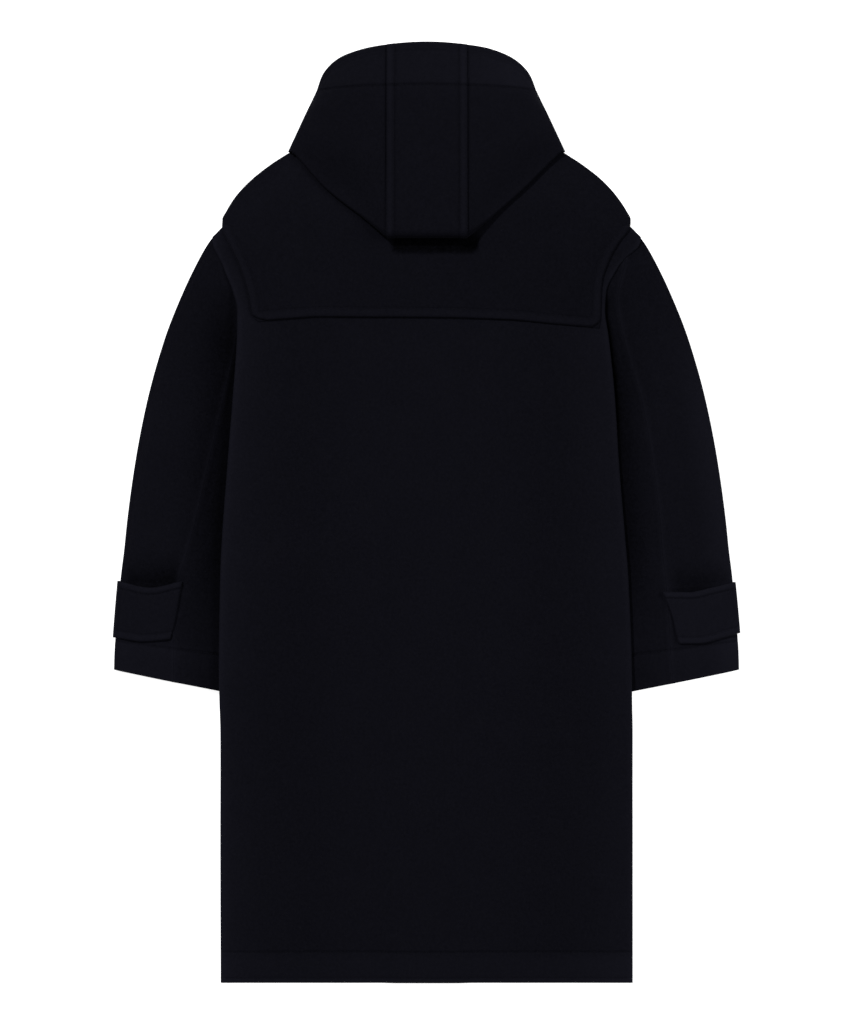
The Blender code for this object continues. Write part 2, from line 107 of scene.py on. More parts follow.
# Hood
HOOD_SEAM_LEFT = -47.5
HOOD_SEAM_RIGHT = 49.0
HOOD_FOLD_Y = 360.0
HOOD_NECK_RUN = 84.0
HOOD_CROWN_Y = 622.0
HOOD_CROWN_DROP = 3.3
HOOD_EDGE_RADIUS = 6.4
HOOD_REST = 13.7
HOOD_SIDE_REST = 1.8  # its sides lie that much lower, past the fronts' overlap
HOOD_STRAIGHT = 4.0
HOOD_HALF = 146.0  # half its width at the open edge
HOOD_FACING_Y = 562.0  # the facing's stitches, at the middle of the hood
HOOD_FACING_DROP = 6.5  # and how much lower they are at its sides
HOOD_EDGE_STITCH = 7.0
FELL = 5.0  # half the width of a felled seam

# %% [markdown]
# ## Tables
#
# A row of a table is a cross-section of the coat at one height, from the hem (y = -622) to the
# crown of the hood (y = 622). A panel's edge is read from it on a smooth curve. The curve must
# never swing past its rows, or a straight side seam would ripple, so it is a monotone cubic.
# %% Tables of the outline, and how they are read
def table(columns, rows):
    """Named columns of numbers. The first column is the one the others are read by."""
    return dict(zip(columns.split(), np.array(rows, float).T))


BODY = table(
    "y left right lift edge turn",
    [
        (-622, -272.0, 272.5, 0.0, 9.6, 180),
        (-420, -272.5, 272.5, 0.0, 9.8, 180),
        (-375, -272.3, 272.3, 0.9, 10.0, 180),
        (-330, -272.1, 272.2, 3.2, 10.2, 180),
        (-290, -272.0, 272.0, 6.8, 10.4, 180),
        (-248, -273.0, 271.0, 11.0, 11.0, 180),
        (-205, -273.5, 270.5, 14.6, 11.4, 180),
        (-80, -271.5, 265.5, 14.6, 11.4, 180),
        (-35, -269.5, 262.0, 11.2, 11.4, 180),
        (68, -262.0, 253.5, 10.9, 11.4, 180),
        (150, -255.5, 248.5, 10.9, 11.0, 180),
        (232, -250.0, 240.0, 10.9, 10.4, 180),
        (265, -249.5, 235.5, 10.9, 10.0, 180),
        (290, -255.0, 237.0, 10.9, 8.6, 150),
        (317, -266.0, 249.5, 11.1, 6.8, 90),
        (335, -274.0, 264.0, 11.0, 6.4, 50),
        (351, -281.0, 280.0, 10.6, 6.4, 30),
        (361, -282.5, 283.0, 9.9, 6.4, 20),
        (368, -276.5, 277.0, 9.2, 6.4, 12),
        (376, -269.0, 269.0, 8.0, 6.6, 0),
        (386, -258.0, 258.0, 6.2, 6.6, 0),
        (402, -245.0, 245.0, 3.4, 6.6, 0),
        (427, -228.0, 228.0, 0.9, 6.6, 0),
        (458, -192.0, 192.0, 0.0, 6.6, 0),
    ],
)
YOKE = table(
    "y left right turn",
    [
        (247, -221.0, 227.0, 0),
        (258, -230.0, 229.5, 0),
        (278, -233.0, 230.0, 0),
        (302, -239.0, 231.5, 0),
        (331, -249.5, 240.5, 0),
        (359, -263.5, 256.5, 0),
        (374, -269.5, 268.0, 0),
        (386, -269.5, 269.5, 90),
        (398, -264.0, 264.0, 180),
        (417, -252.0, 251.5, 180),
        (438, -232.5, 232.5, 180),
        (459, -206.0, 206.0, 180),
        (466, -195.5, 195.5, 180),
        (478, -176.0, 176.0, 180),
    ],
)
YOKE_HEM = table(
    "x y",
    [(-229, 250), (-190, 253.5), (-136, 257), (28, 256), (110, 253), (170, 247), (229, 242)],
)
SLEEVE = table(
    "y outer inner seam_left seam_right floor thick tilt",
    [
        (-208, 413.0, 252.0, 333, 325, 0.0, 10.3, -33),
        (-178, 411.5, 249.0, 333, 322, 3.8, 10.3, -24),
        (-150, 409.5, 246.0, 334, 320, 3.8, 10.3, -15),
        (-85, 403.5, 240.0, 326, 315, 3.8, 10.3, -6),
        (-50, 399.5, 235.0, 315, 311, 0.5, 10.3, -3),
        (-11, 395.5, 230.0, 305, 308, 0.0, 10.3, 0),
        (68, 384.5, 216.0, 287, 298, 0.0, 10.3, 0),
        (147, 369.0, 198.0, 269, 284, 0.0, 10.3, 0),
        (227, 346.5, 188.0, 252, 261, 0.0, 10.3, 0),
        (279, 326.5, 194.0, 248, 252, 0.0, 10.3, 0),
        (332, 301.5, 222.0, 260, 262, 0.0, 10.3, 0),
        (361, 284.0, 240.0, 265, 265, 0.0, 8.6, 0),
        (370, 274.5, 246.0, 265, 265, 0.0, 7.5, 0),
    ],
)
FRONT_NECK = table("y reach", [(374, 36), (386, -30), (398, -44), (427, -104), (458, -150)])
HOOD_COLUMNS = "share fold_x fold_y edge_x edge_y"
HOOD_LEFT = table(
    HOOD_COLUMNS,
    [
        (0.0, -51.65, 360.0, -51.65, 618.5),
        (0.25, -80.0, 384.5, -83.0, 612.5),
        (0.5, -113.0, 409.5, -115.0, 600.5),
        (0.75, -149.0, 437.5, -136.0, 581.0),
        (1.0, -184.0, 472.0, -146.0, 556.0),
    ],
)
HOOD_RIGHT = table(
    HOOD_COLUMNS,
    [
        (0.0, 53.15, 360.0, 53.15, 618.3),
        (0.25, 80.0, 382.5, 84.0, 612.5),
        (0.5, 113.0, 412.0, 114.0, 600.0),
        (0.75, 149.0, 441.5, 135.0, 581.0),
        (1.0, 184.5, 472.0, 146.0, 556.0),
    ],
)
HOOD_HEIGHT = table(
    "along middle side",
    [
        (0.0, 36.5, 19.0),
        (0.2, 37.5, 20.5),
        (0.45, 36.5, 20.5),
        (0.7, 33.0, 18.0),
        (0.78, 29.5, 15.5),
        (0.9, 19.0, 11.5),
        (1.0, 9.4, 9.4),
    ],
)


def ease(start, stop, value):
    """0 up to start, 1 from stop on, and a smooth step between them."""
    part = np.clip((value - start) / (stop - start), 0.0, 1.0)
    return part * part * (3 - 2 * part)


def bell(distance, width):
    """1 at no distance, and less the further away, on both sides."""
    return np.exp(-((distance / width) ** 2))


def read(rows, column, at):
    """A column at some value, or values, of the table's first column."""
    keys, values = next(iter(rows.values())), rows[column]
    steps = np.diff(values) / np.diff(keys)
    before, after = steps[:-1], steps[1:]
    turns = before * after <= 0
    joined = np.where(turns, 0.0, 2 * before * after / np.where(turns, 1.0, before + after))
    slopes = np.concatenate(([steps[0]], joined, [steps[-1]]))
    at = np.clip(at, keys[0], keys[-1])
    i = np.clip(np.searchsorted(keys, at, side="right") - 1, 0, len(steps) - 1)
    width = keys[i + 1] - keys[i]
    t = (at - keys[i]) / width
    bend = slopes[i] * (1 - t) - slopes[i + 1] * t - steps[i] * (1 - 2 * t)
    return values[i] + t * width * (steps[i] + (1 - t) * bend)


def places(start, stop, step, *finer):
    """Numbers from start to stop, step apart, and closer round each (place, reach, step)."""
    found = list(np.linspace(start, stop, max(2, round(abs(stop - start) / step) + 1)))
    for at, reach, close in finer:
        found += list(np.arange(at - reach, at + reach + close / 2, close))
    found = sorted(p for p in found if min(start, stop) <= p <= max(start, stop))
    kept = [found[0]]
    for place in found[1:-1]:
        if place - kept[-1] > 0.45 and found[-1] - place > 0.45:
            kept.append(place)
    return np.array(kept + [found[-1]])


print("body outline at y = 0:", round(float(read(BODY, "left", 0.0)), 1), "mm")

# %% [markdown]
# ## Soft creases
#
# Melton is too stiff for sharp folds. Laid out, it keeps long, shallow swells where it hung,
# no two alike. Each is given as a line with a width and a height, negative for a
# trough, and fades out at both ends. A little slow unevenness goes over all of it.
# %% Creases and unevenness
CREASE_COLUMNS = "x0 y0 x1 y1 width rise"
BODY_CREASES = table(
    CREASE_COLUMNS,
    [
        (-182, -560, -150, 60, 58, 0.9),
        (-96, -600, -70, -180, 46, -0.6),
        (-20, -520, 6, 150, 74, 1.2),
        (88, -600, 104, -60, 52, -0.7),
        (150, -585, 178, -120, 44, 0.8),
        (214, -500, 206, 90, 34, -0.6),
        (-226, -480, -216, 30, 30, -0.7),
        (-120, 30, -150, 236, 52, -0.6),
        (70, 20, 128, 238, 46, 0.6),
        (-238, 120, -200, 236, 26, 0.5),
        (226, 60, 186, 232, 26, 0.6),
        (-40, 250, -60, 350, 44, 0.6),
        (150, 280, 90, 350, 36, -0.6),
        (-170, 300, -120, 350, 34, -0.5),
    ],
)


def creases(rows, x, y):
    """Height that soft creases add at each place."""
    height = np.zeros(np.broadcast(x, y).shape)
    for x0, y0, x1, y1, width, rise in zip(*rows.values()):
        run_x, run_y = x1 - x0, y1 - y0
        length = hypot(run_x, run_y)
        along = ((x - x0) * run_x + (y - y0) * run_y) / length**2
        off = ((x - x0) * run_y - (y - y0) * run_x) / length + 0.06 * length * np.sin(pi * along)
        fade = ease(-0.2, 0.25, along) * (1 - ease(0.7, 1.2, along))
        height += rise * fade * bell(off, width)
    return height


def uneven(x, y, size, rise, seed):
    """Slow bumps of about that size and height."""
    flat = [
        noise.noise(Vector((px / size, py / size, seed)))
        for px, py in zip(np.ravel(x), np.ravel(y))
    ]
    return rise * np.array(flat).reshape(np.shape(x))


def groove(distance, width, depth):
    """A stitched line presses the cloth in."""
    return -depth * bell(distance, width)


def rounded(distance, radius=2.2):
    """How far a folded edge drops, by the distance in from it."""
    inside = np.clip(distance, 0.0, radius)
    return np.sqrt(np.maximum(radius**2 - (radius - inside) ** 2, 0.0)) - radius


def padded_edge(distance, stitch, swell):
    """The turned cloth between an edge and its stitches stands a little proud."""
    share = np.clip(distance / stitch, 0.0, 1.0)
    return swell * np.sin(pi * share) ** 0.7 + rounded(distance)


print("hand-placed creases on the body:", len(BODY_CREASES["rise"]))

# %% [markdown]
# ## The stack of layers
#
# The sleeves lie lowest, then the two fronts, the back, the yoke and the hood. A layer's height
# is worked out from what lies below it, so nothing floats. Only a sleeve's head runs a few
# millimetres into the body's edge at the armhole, where a real one is sewn in.
# %% Heights of the layers
FRONTS = WALL + SEAM


def outline(side, y):
    """Distance from the middle to the body's side."""
    return read(BODY, "right", y) if side > 0 else -read(BODY, "left", y)


def climb(side, y):
    """Where the body starts to climb onto the sleeve, and where it is up."""
    up = min(read(SLEEVE, "inner", y), outline(side, y) - FRONT_INSET) - RAMP_CLEAR
    return up - RAMP, up


def by_side(x, y, value):
    """A value that depends on the side of the coat, at each x."""
    return np.where(np.asarray(x) > 0, value(1, y), value(-1, y))


def carried(x, y, ramp=RAMP):
    """Height that the sleeve below gives to the body's underside, along one row."""
    up = by_side(x, y, lambda side, at: climb(side, at)[1])
    return read(BODY, "lift", y) * ease(up - ramp, up, np.abs(x))


def front_over_front(x):
    return FRONTS * (1 - ease(OVERLAP + 2, OVERLAP_END, np.abs(x)))


def back_top(x, y):
    """The back's upper face along one row, creases included."""
    flat = 2 * WALL + LAYER
    edge = read(BODY, "edge", y) * EDGE_SHARE
    inside = by_side(x, y, outline) - np.abs(x)
    near_edge = 1 - ease(edge / 2, EDGE_BLEND, inside)
    smooth = carried(x, y, BACK_RAMP) + flat + front_over_front(x) + (edge - flat) * near_edge
    loose = ease(4.0, 40.0, inside)
    soft = creases(BODY_CREASES, x, y) + uneven(x, np.full_like(x, y), 70.0, 0.6, 1.0)
    return smooth + 0.8 + loose * soft


def rolled_edge(edge, top, radius, turn, tail):
    """(x, z) of a left edge, from the end of its turned-under cloth up to its flat top."""
    angle = radians(turn)
    reach = radius if turn >= 90 else radius * sin(angle) + tail * cos(angle)
    centre = edge + reach
    angles = np.linspace(angle, 0.0, ROLL_STEPS + 1)
    x = centre - radius * np.sin(angles)
    z = top - radius + radius * np.cos(angles)
    x = np.concatenate(([x[0] - tail * cos(angle)], x))
    z = np.concatenate(([z[0] - tail * sin(angle)], z))
    return x, z


def plain_edge(edge, top, reach=9.5):
    """As many points as a rolled edge has, crowded towards the edge."""
    share = np.linspace(0.0, 1.0, ROLL_STEPS + 2) ** 1.5
    return edge + reach * share, np.full(ROLL_STEPS + 2, float(top))


print("top of the back at its middle:", round(float(back_top(np.array([0.0]), 0.0)[0]), 1), "mm")

# %% [markdown]
# ## From points to cloth
#
# A panel starts as a flat grid whose points move to their places on the cloth's outer face.
# Solidify then gives the wall inwards, so the outer face stays where it was set. A seam's
# sharp rim keeps its edge, and all else shades smoothly. An attribute holds the painted light
# and shade at each point.
# %% A panel of cloth
def panel(name, x, y, z, painted_shading=None, gone=()):
    """A wall of cloth below a grid of outer points, rows running across."""
    along, across = x.shape
    grid = bmesh.new()
    bmesh.ops.create_grid(grid, x_segments=across - 1, y_segments=along - 1, size=1.0)
    grid.verts.ensure_lookup_table()
    spots = np.stack([x, y, z], axis=-1).reshape(-1, 3) * MM
    # this layer holds painted light and shade, which the melton's node group turns into colour
    shading_layer = grid.verts.layers.float.new("painted_shading")
    values = np.zeros(x.shape) if painted_shading is None else painted_shading
    for vert, spot, value in zip(grid.verts, spots, values.ravel()):
        vert.co = spot
        vert[shading_layer] = value
    lost = [grid.verts[row * across + column] for row, column in gone]
    bmesh.ops.delete(grid, geom=lost, context="VERTS")
    mesh = bpy.data.meshes.new(name)
    grid.to_mesh(mesh)
    grid.free()
    mesh.shade_smooth()
    cloth = bpy.data.objects.new(name, mesh)
    scene.collection.objects.link(cloth)
    wall = cloth.modifiers.new("wall", "SOLIDIFY")
    wall.thickness = WALL * MM
    wall.offset = -1.0
    solid = bpy.data.meshes.new_from_object(cloth.evaluated_get(bpy.context.evaluated_depsgraph_get()))
    cloth.modifiers.clear()
    cloth.data = solid
    solid.name = name
    solid.shade_smooth()
    solid.set_sharp_from_angle(angle=radians(60))
    print(f"{name}: {len(solid.polygons)} faces, {2 * len(solid.polygons)} triangles")
    return cloth


cloths = {}

# %% [markdown]
# ## The back
#
# One wide panel from side seam to side seam. Its sides are turned under and stand up as soft
# rolls where they lie on the sleeves. The hem is turned up once, stitched, and stitched again
# close to its edge, so it is a little proud of the cloth above and pinched at both lines.
# %% The back panel
HEM_Y = float(BODY["y"][0])
NECK_Y = float(BODY["y"][-1])


def hem_relief(above):
    """The turned-up hem, by the distance above its edge."""
    proud = 0.7 * (1 - ease(HEM_DEPTH - 3, HEM_DEPTH + 1.5, above))
    lines = groove(above - HEM_DEPTH, 1.5, 0.8) + groove(above - HEM_EDGE_STITCH, 1.3, 0.6)
    return proud + lines + rounded(above)


def upward(z):
    """1 on top of a rolled edge and 0 from half way down, or 1 all over where it is flat."""
    if z[-1] - z[1] <= 1:
        return np.ones(len(z))
    half = (z[-1] + z[1]) / 2
    return np.clip((z - half) / (z[-1] - half), 0.0, 1.0)


def back_row(y, columns):
    """x and z across the back at one height, and how much of its relief each point takes."""
    turn = float(read(BODY, "turn", y))
    radius = float(read(BODY, "edge", y)) * EDGE_SHARE / 2
    ends = []
    for side in (-1, 1):
        edge = float(outline(side, y))
        top = float(back_top(np.array([side * edge]), y)[0])
        if turn < 10:
            ends.append(plain_edge(-edge, top))
        else:
            ends.append(rolled_edge(-edge, top, radius, turn, SIDE_TURN * turn / 180))
    left, right = ends[0][0][-1], -ends[1][0][-1]
    flat = left + (right - left) * columns
    x = np.concatenate([ends[0][0], flat, -ends[1][0][::-1]])
    z = np.concatenate([ends[0][1], back_top(flat, y), ends[1][1][::-1]])
    share = np.concatenate([upward(ends[0][1]), np.ones(len(flat)), upward(ends[1][1])[::-1]])
    return x, z, share


def back_painted_shading(x, y, inside):
    """Painted highlight along the side rolls, more on the left, and on the hem, most at its right;
    painted shade at the hem's stitches and over the quarters.
    """
    above = y - HEM_Y
    broad = 0.3 * (1 - 0.9 * ease(250.0, 300.0, y))
    painted_shading = 0.46 * bell(inside, 6.0) + broad * bell(inside, 34.0)
    painted_shading += np.where(x < 0, 0.16, -0.08) * bell(inside, 16.0)
    painted_shading += 0.24 * bell(inside, 4.0) * ease(270.0, 300.0, y)
    in_hem = 0.24 + 0.16 * ease(120.0, 260.0, x)
    painted_shading += 0.3 * bell(above, 5.0) + in_hem * (1 - ease(30.0, 44.0, above))
    painted_shading -= 0.34 * bell(above - HEM_DEPTH, 1.7)
    return painted_shading - 0.12 * bell(np.abs(x) - 165.0, 52.0)


def make_back():
    rows = places(
        HEM_Y, NECK_Y, GRAIN,
        (HEM_Y, 8.0, 0.8), (HEM_Y + HEM_DEPTH, 4.0, 0.9), (355.0, 30.0, 2.5),
    )
    columns = np.linspace(0.0, 1.0, 112)[1:-1]
    lines = [back_row(y, columns) for y in rows]
    x, z, share = (np.array(part) for part in zip(*lines))
    y = np.repeat(rows[:, None], x.shape[1], axis=1)
    inside = np.minimum(x - x.min(axis=1)[:, None], x.max(axis=1)[:, None] - x)
    return panel("back", x, y, z + share * hem_relief(y - HEM_Y), back_painted_shading(x, y, inside))


cloths["back"] = make_back()

# %% [markdown]
# ## The fronts
#
# They lie below, face down, and only their hem and side edges can be seen from low angles. The
# right one passes over the left one at the middle, so it steps up by one wall and down again.
# Between the sleeves their underside rests flat on the surface.
# %% The two fronts
def make_front(name, side):
    rows = places(HEM_Y, NECK_Y, 14.0, (HEM_Y, 8.0, 1.4), (HEM_Y + HEM_DEPTH, 3.0, 1.5))
    share = np.linspace(0.0, 1.0, 40)
    x = np.zeros((len(rows), len(share)))
    z = np.zeros_like(x)
    for i, y in enumerate(rows):
        start, stop = outline(side, y) - FRONT_INSET, -read(FRONT_NECK, "reach", y)
        line = start + (stop - start) * share
        over = front_over_front(np.maximum(line, 0.0)) * (1 - ease(386.0, 398.0, y))
        z[i] = carried(side * line, y) + WALL + (over if side > 0 else 0.0)
        x[i] = side * line
    y = np.repeat(rows[:, None], len(share), axis=1)
    if side > 0:
        x, z = x[:, ::-1], z[:, ::-1]
    return panel(name, x, y, z)


cloths["front_left_cloth"] = make_front("front_left_cloth", -1)
cloths["front_right_cloth"] = make_front("front_right_cloth", 1)

# %% [markdown]
# ## The sleeves
#
# Each sleeve is a flattened tube of two pieces that meet in a back seam, which shows, and in a
# front seam, which lies below. The outer part is full. Towards the body the inner part sinks
# away, and above the cuff strap the cloth is drawn in. The cuff has a deep stitched hem.
# %% The sleeves
SLEEVE_CREASES = table(
    CREASE_COLUMNS,
    [
        (-372, 150, -392, -40, 20, 1.8),
        (-330, 180, -345, -30, 17, -1.5),
        (-300, 255, -322, 60, 16, 1.3),
        (-292, 60, -316, -70, 12, -1.0),
        (-372, -30, -350, -80, 13, 1.4),
        (-318, 320, -300, 255, 14, 0.9),
        (-346, -190, -352, -230, 14, 0.6),
    ],
)
SEAM_COLUMN = {-1: "seam_left", 1: "seam_right"}  # where its back seam is in the table
LOFT_EXTRA = 2.6  # the outer part stands fuller than the plain solid
BODY_SINK = {-1: 3.0, 1: 1.2}  # how far the left and the right sleeve sink beside the body
HEAD_RISE = 3.4  # and how much it rises to the armhole seam at its head
SEAM_RIDGE = 1.9  # height of the sleeve's back seam
STRAP_SINK = 2.6  # how far it is drawn in above the strap


def sleeve_top(x, y, seam, side):
    """The upper face of a left-hand sleeve along one row."""
    outer = -float(read(SLEEVE, "outer", y))
    floor, thick = float(read(SLEEVE, "floor", y)), float(read(SLEEVE, "thick", y))
    shown = -float(outline(side, y)) - outer - RAMP_CLEAR
    share = np.clip((x - outer) / max(shown, 1.0), 0.0, 1.0)
    full = ease(10.0, 50.0, shown)
    loft = (SLEEVE_LOFT + LOFT_EXTRA) * np.sin(pi * share**0.72) * full
    head = ease(262.0, 305.0, y) * (1 - ease(345.0, 365.0, y))
    sink = (BODY_SINK[side] * full * (1 - head) - HEAD_RISE * head) * ease(0.5, 0.95, share)
    drawn = STRAP_SINK * ease(STRAP_TOP + 42, STRAP_TOP + 2, y) * ease(0.04, 0.3, share)
    drawn = drawn * (1 - ease(0.5, 0.75, share)) if y > STRAP_TOP else 0.0
    soft = creases(SLEEVE_CREASES, x * (1.0 if side < 0 else 0.985), y + (0 if side < 0 else 22))
    rough = uneven(x, np.full_like(x, y), 55.0, 0.8, 4.0 + side)
    free = ease(0.02, 0.16, share) * (1 - ease(0.86, 1.0, share)) * full
    from_seam = x + float(read(SLEEVE, seam, y))
    ridge = SEAM_RIDGE * bell(from_seam, 4.2) * full
    seam_groove = (groove(from_seam - 7.5, 2.0, 0.6) + groove(from_seam + 7.5, 2.2, 0.4)) * full
    return floor + thick + loft - sink - drawn + free * (soft + rough) + ridge + seam_groove


def turned(edge, top, thick, way):
    """Half a tube's edge, from below up to its top."""
    x, z = rolled_edge(way * edge, top, thick / 2, 180, 0.0)
    x, z = x[1:], z[1:]
    return (x, z) if way > 0 else (-x[::-1], z[::-1])


def sleeve_rows(y, seam, side):
    """x and z of a left-hand sleeve's outer part and of its inner part at one height."""
    outer, inner = -float(read(SLEEVE, "outer", y)), -float(read(SLEEVE, "inner", y))
    back_seam = -float(read(SLEEVE, seam, y))
    floor = float(read(SLEEVE, "floor", y))
    below = outer + FRONT_SEAM * (inner - outer)
    tops = sleeve_top(np.array([outer, inner]), y, seam, side)
    first = turned(outer, tops[0], tops[0] - floor, 1)
    last = turned(inner, tops[1], tops[1] - floor, -1)
    start, stop = first[0][-1], last[0][0]
    flat = start + (back_seam - SEAM / 2 - start) * np.linspace(0.0, 1.0, 30)[1:] ** 0.9
    under = np.linspace(below - SEAM / 2, first[0][0], 8)[:-1]
    outer_x = np.concatenate([under, first[0], flat])
    outer_z = np.concatenate([np.full(7, floor), first[1], sleeve_top(flat, y, seam, side)])
    flat = back_seam + SEAM / 2 + (stop - back_seam - SEAM / 2) * np.linspace(0, 1, 26)[:-1]
    under = np.linspace(last[0][-1], below + SEAM / 2, 8)[1:]
    inner_x = np.concatenate([flat, last[0], under])
    inner_z = np.concatenate([sleeve_top(flat, y, seam, side), last[1], np.full(7, floor)])
    return (outer_x, outer_z), (inner_x, inner_z)


def cuff_relief(above):
    return groove(above - CUFF_DEPTH, 1.5, 0.8) + 0.6 * (1 - ease(CUFF_DEPTH - 3, CUFF_DEPTH, above))


def sleeve_shift(x, y):
    """How much lower the cuff's inner side is than its outer side, at each x."""
    outer, inner = -read(SLEEVE, "outer", y), -read(SLEEVE, "inner", y)
    return read(SLEEVE, "tilt", y) * (x - outer) / (inner - outer)


STRAP_COLUMNS = "share top bottom"
STRAP_EDGES = {  # a strap's two long edges, from the sleeve's outer edge to the strap's end
    -1: table(STRAP_COLUMNS, [(0, -91, -165.5), (0.5, -99.5, -171), (1, -91, -168)]),
    1: table(
        STRAP_COLUMNS,
        [(0, -92.5, -159.5), (0.3, -99, -167), (0.65, -105.5, -173.5), (1, -105, -174)],
    ),
}

# How strong the painted highlight and the painted shade are, on the left and on the right
PAINTED_SHADE_BESIDE = {  # painted shade beside the body: its width, its depth, and the share left at the cuff
    -1: (44.0, 1.0, 0.52),
    1: (32.0, 0.9, 0.2),
}
PAINTED_SHADE_FADE = {-1: 215.0, 1: 110.0}  # the height from which that stretch fades
PAINTED_HIGHLIGHT_OUTER = {-1: 0.1, 1: 0.62}  # painted highlight along the outer edge
PAINTED_SHADE_ABOVE_STRAP = {-1: 0.95, 1: 0.72}  # painted shade where the cloth is drawn in above the strap
PAINTED_HIGHLIGHT_CUFF = {-1: 0.5, 1: 0.45}  # painted highlight on the cuff below the strap
PAINTED_HIGHLIGHT_STRAP = {-1: 0.24, 1: 0.55}  # painted highlight on the strap


def sleeve_painted_shading(x, y, side):
    """Painted shade beside the body, above the strap, at the cuff's stitches and towards the head;
    painted highlight on the outer side, the back seam and the cuff.
    """
    inside = -outline(side, y) - x
    from_outer = x + read(SLEEVE, "outer", y)
    width, depth, low = PAINTED_SHADE_BESIDE[side]
    beside = depth * bell(np.maximum(inside, 0.0), width)
    beside = beside * (low + (1 - low) * ease(STRAP_BOTTOM - 10, STRAP_TOP + 60, y))
    beside = beside * (1 - 0.9 * ease(PAINTED_SHADE_FADE[side], 315.0, y))
    if side > 0:
        # a narrow painted shadow right beside the body's edge, on the right sleeve
        narrow = 1.1 * bell(inside, 5.5)
        beside += narrow * ease(60.0, 170.0, y) * (1 - ease(270.0, 292.0, y))
    outer = PAINTED_HIGHLIGHT_OUTER[side] * (1 - ease(4.0, 46.0, from_outer))
    outer = outer * (1 - ease(100.0, 290.0, y)) - 0.14 * ease(120.0, 290.0, y)
    seam = 0.44 * bell(x + read(SLEEVE, SEAM_COLUMN[side], y), 3.6)
    share = from_outer / (read(SLEEVE, "outer", y) - STRAP_REACH)
    above = y + sleeve_shift(x, y) - read(STRAP_EDGES[side], "top", share)
    hollow = PAINTED_SHADE_ABOVE_STRAP[side] * bell(np.maximum(above, 0.0), 29.0) * ease(-14.0, -6.0, above)
    hollow = hollow * ease(-0.05, 0.2, share) * (1 - ease(0.85, 1.1, share))
    cuff = PAINTED_HIGHLIGHT_CUFF[side] * (1 - ease(0.5, 1.6, share))
    cuff = cuff * (1 - ease(STRAP_BOTTOM - 6, STRAP_BOTTOM + 4, y))
    # painted shade along the cuff's stitch line
    line = 0.4 * bell(y - SLEEVE["y"][0] - CUFF_DEPTH, 1.7)
    return outer + seam + cuff - beside - hollow - line


def make_sleeve(name, side):
    low, high = float(SLEEVE["y"][0]), float(SLEEVE["y"][-1])
    rows = places(
        low, high, GRAIN,
        (low, 3.0, 1.0), (low + CUFF_DEPTH, 4.0, 1.0), (STRAP_TOP, 6.0, 2.0),
    )
    parts = [sleeve_rows(y, SEAM_COLUMN[side], side) for y in rows]
    for part, title in enumerate(("outer", "inner")):
        x = np.array([pair[part][0] for pair in parts])
        z = np.array([pair[part][1] for pair in parts])
        y = np.repeat(rows[:, None], x.shape[1], axis=1)
        # the sleeve's painted light and shade
        painted_shading = np.array([sleeve_painted_shading(line, at, side) for line, at in zip(x, rows)])
        upper = z > 6.0
        z = z + np.where(upper, cuff_relief(y - low), 0.0)
        y = y + np.array([sleeve_shift(line, at) for line, at in zip(x, rows)])
        if side > 0:
            x, y, z, painted_shading = -x[:, ::-1], y[:, ::-1], z[:, ::-1], painted_shading[:, ::-1]
        title = f"sleeve_{title}_{name}_cloth"
        cloths[title] = panel(title, x, y, z, painted_shading)


make_sleeve("left", -1)
make_sleeve("right", 1)

# %% [markdown]
# ## The cuff straps
#
# A strap of doubled cloth goes round each cuff from the back seam. Its edges are turned and
# stitched, so they stand up as soft beads on both sides of the flat middle. It keeps the
# sleeve's own cross-section, moved outwards.
# %% The cuff straps
STRAP_END = {-1: (-323.0, -336.0), 1: (-312.5, -333.0)}  # x of its end, at the top and the bottom


def strap_place(side, share, up):
    """y on the strap, share running along it and up from its lower to its upper edge."""
    edges = STRAP_EDGES[side]
    bottom = read(edges, "bottom", share)
    return bottom + (read(edges, "top", share) - bottom) * up


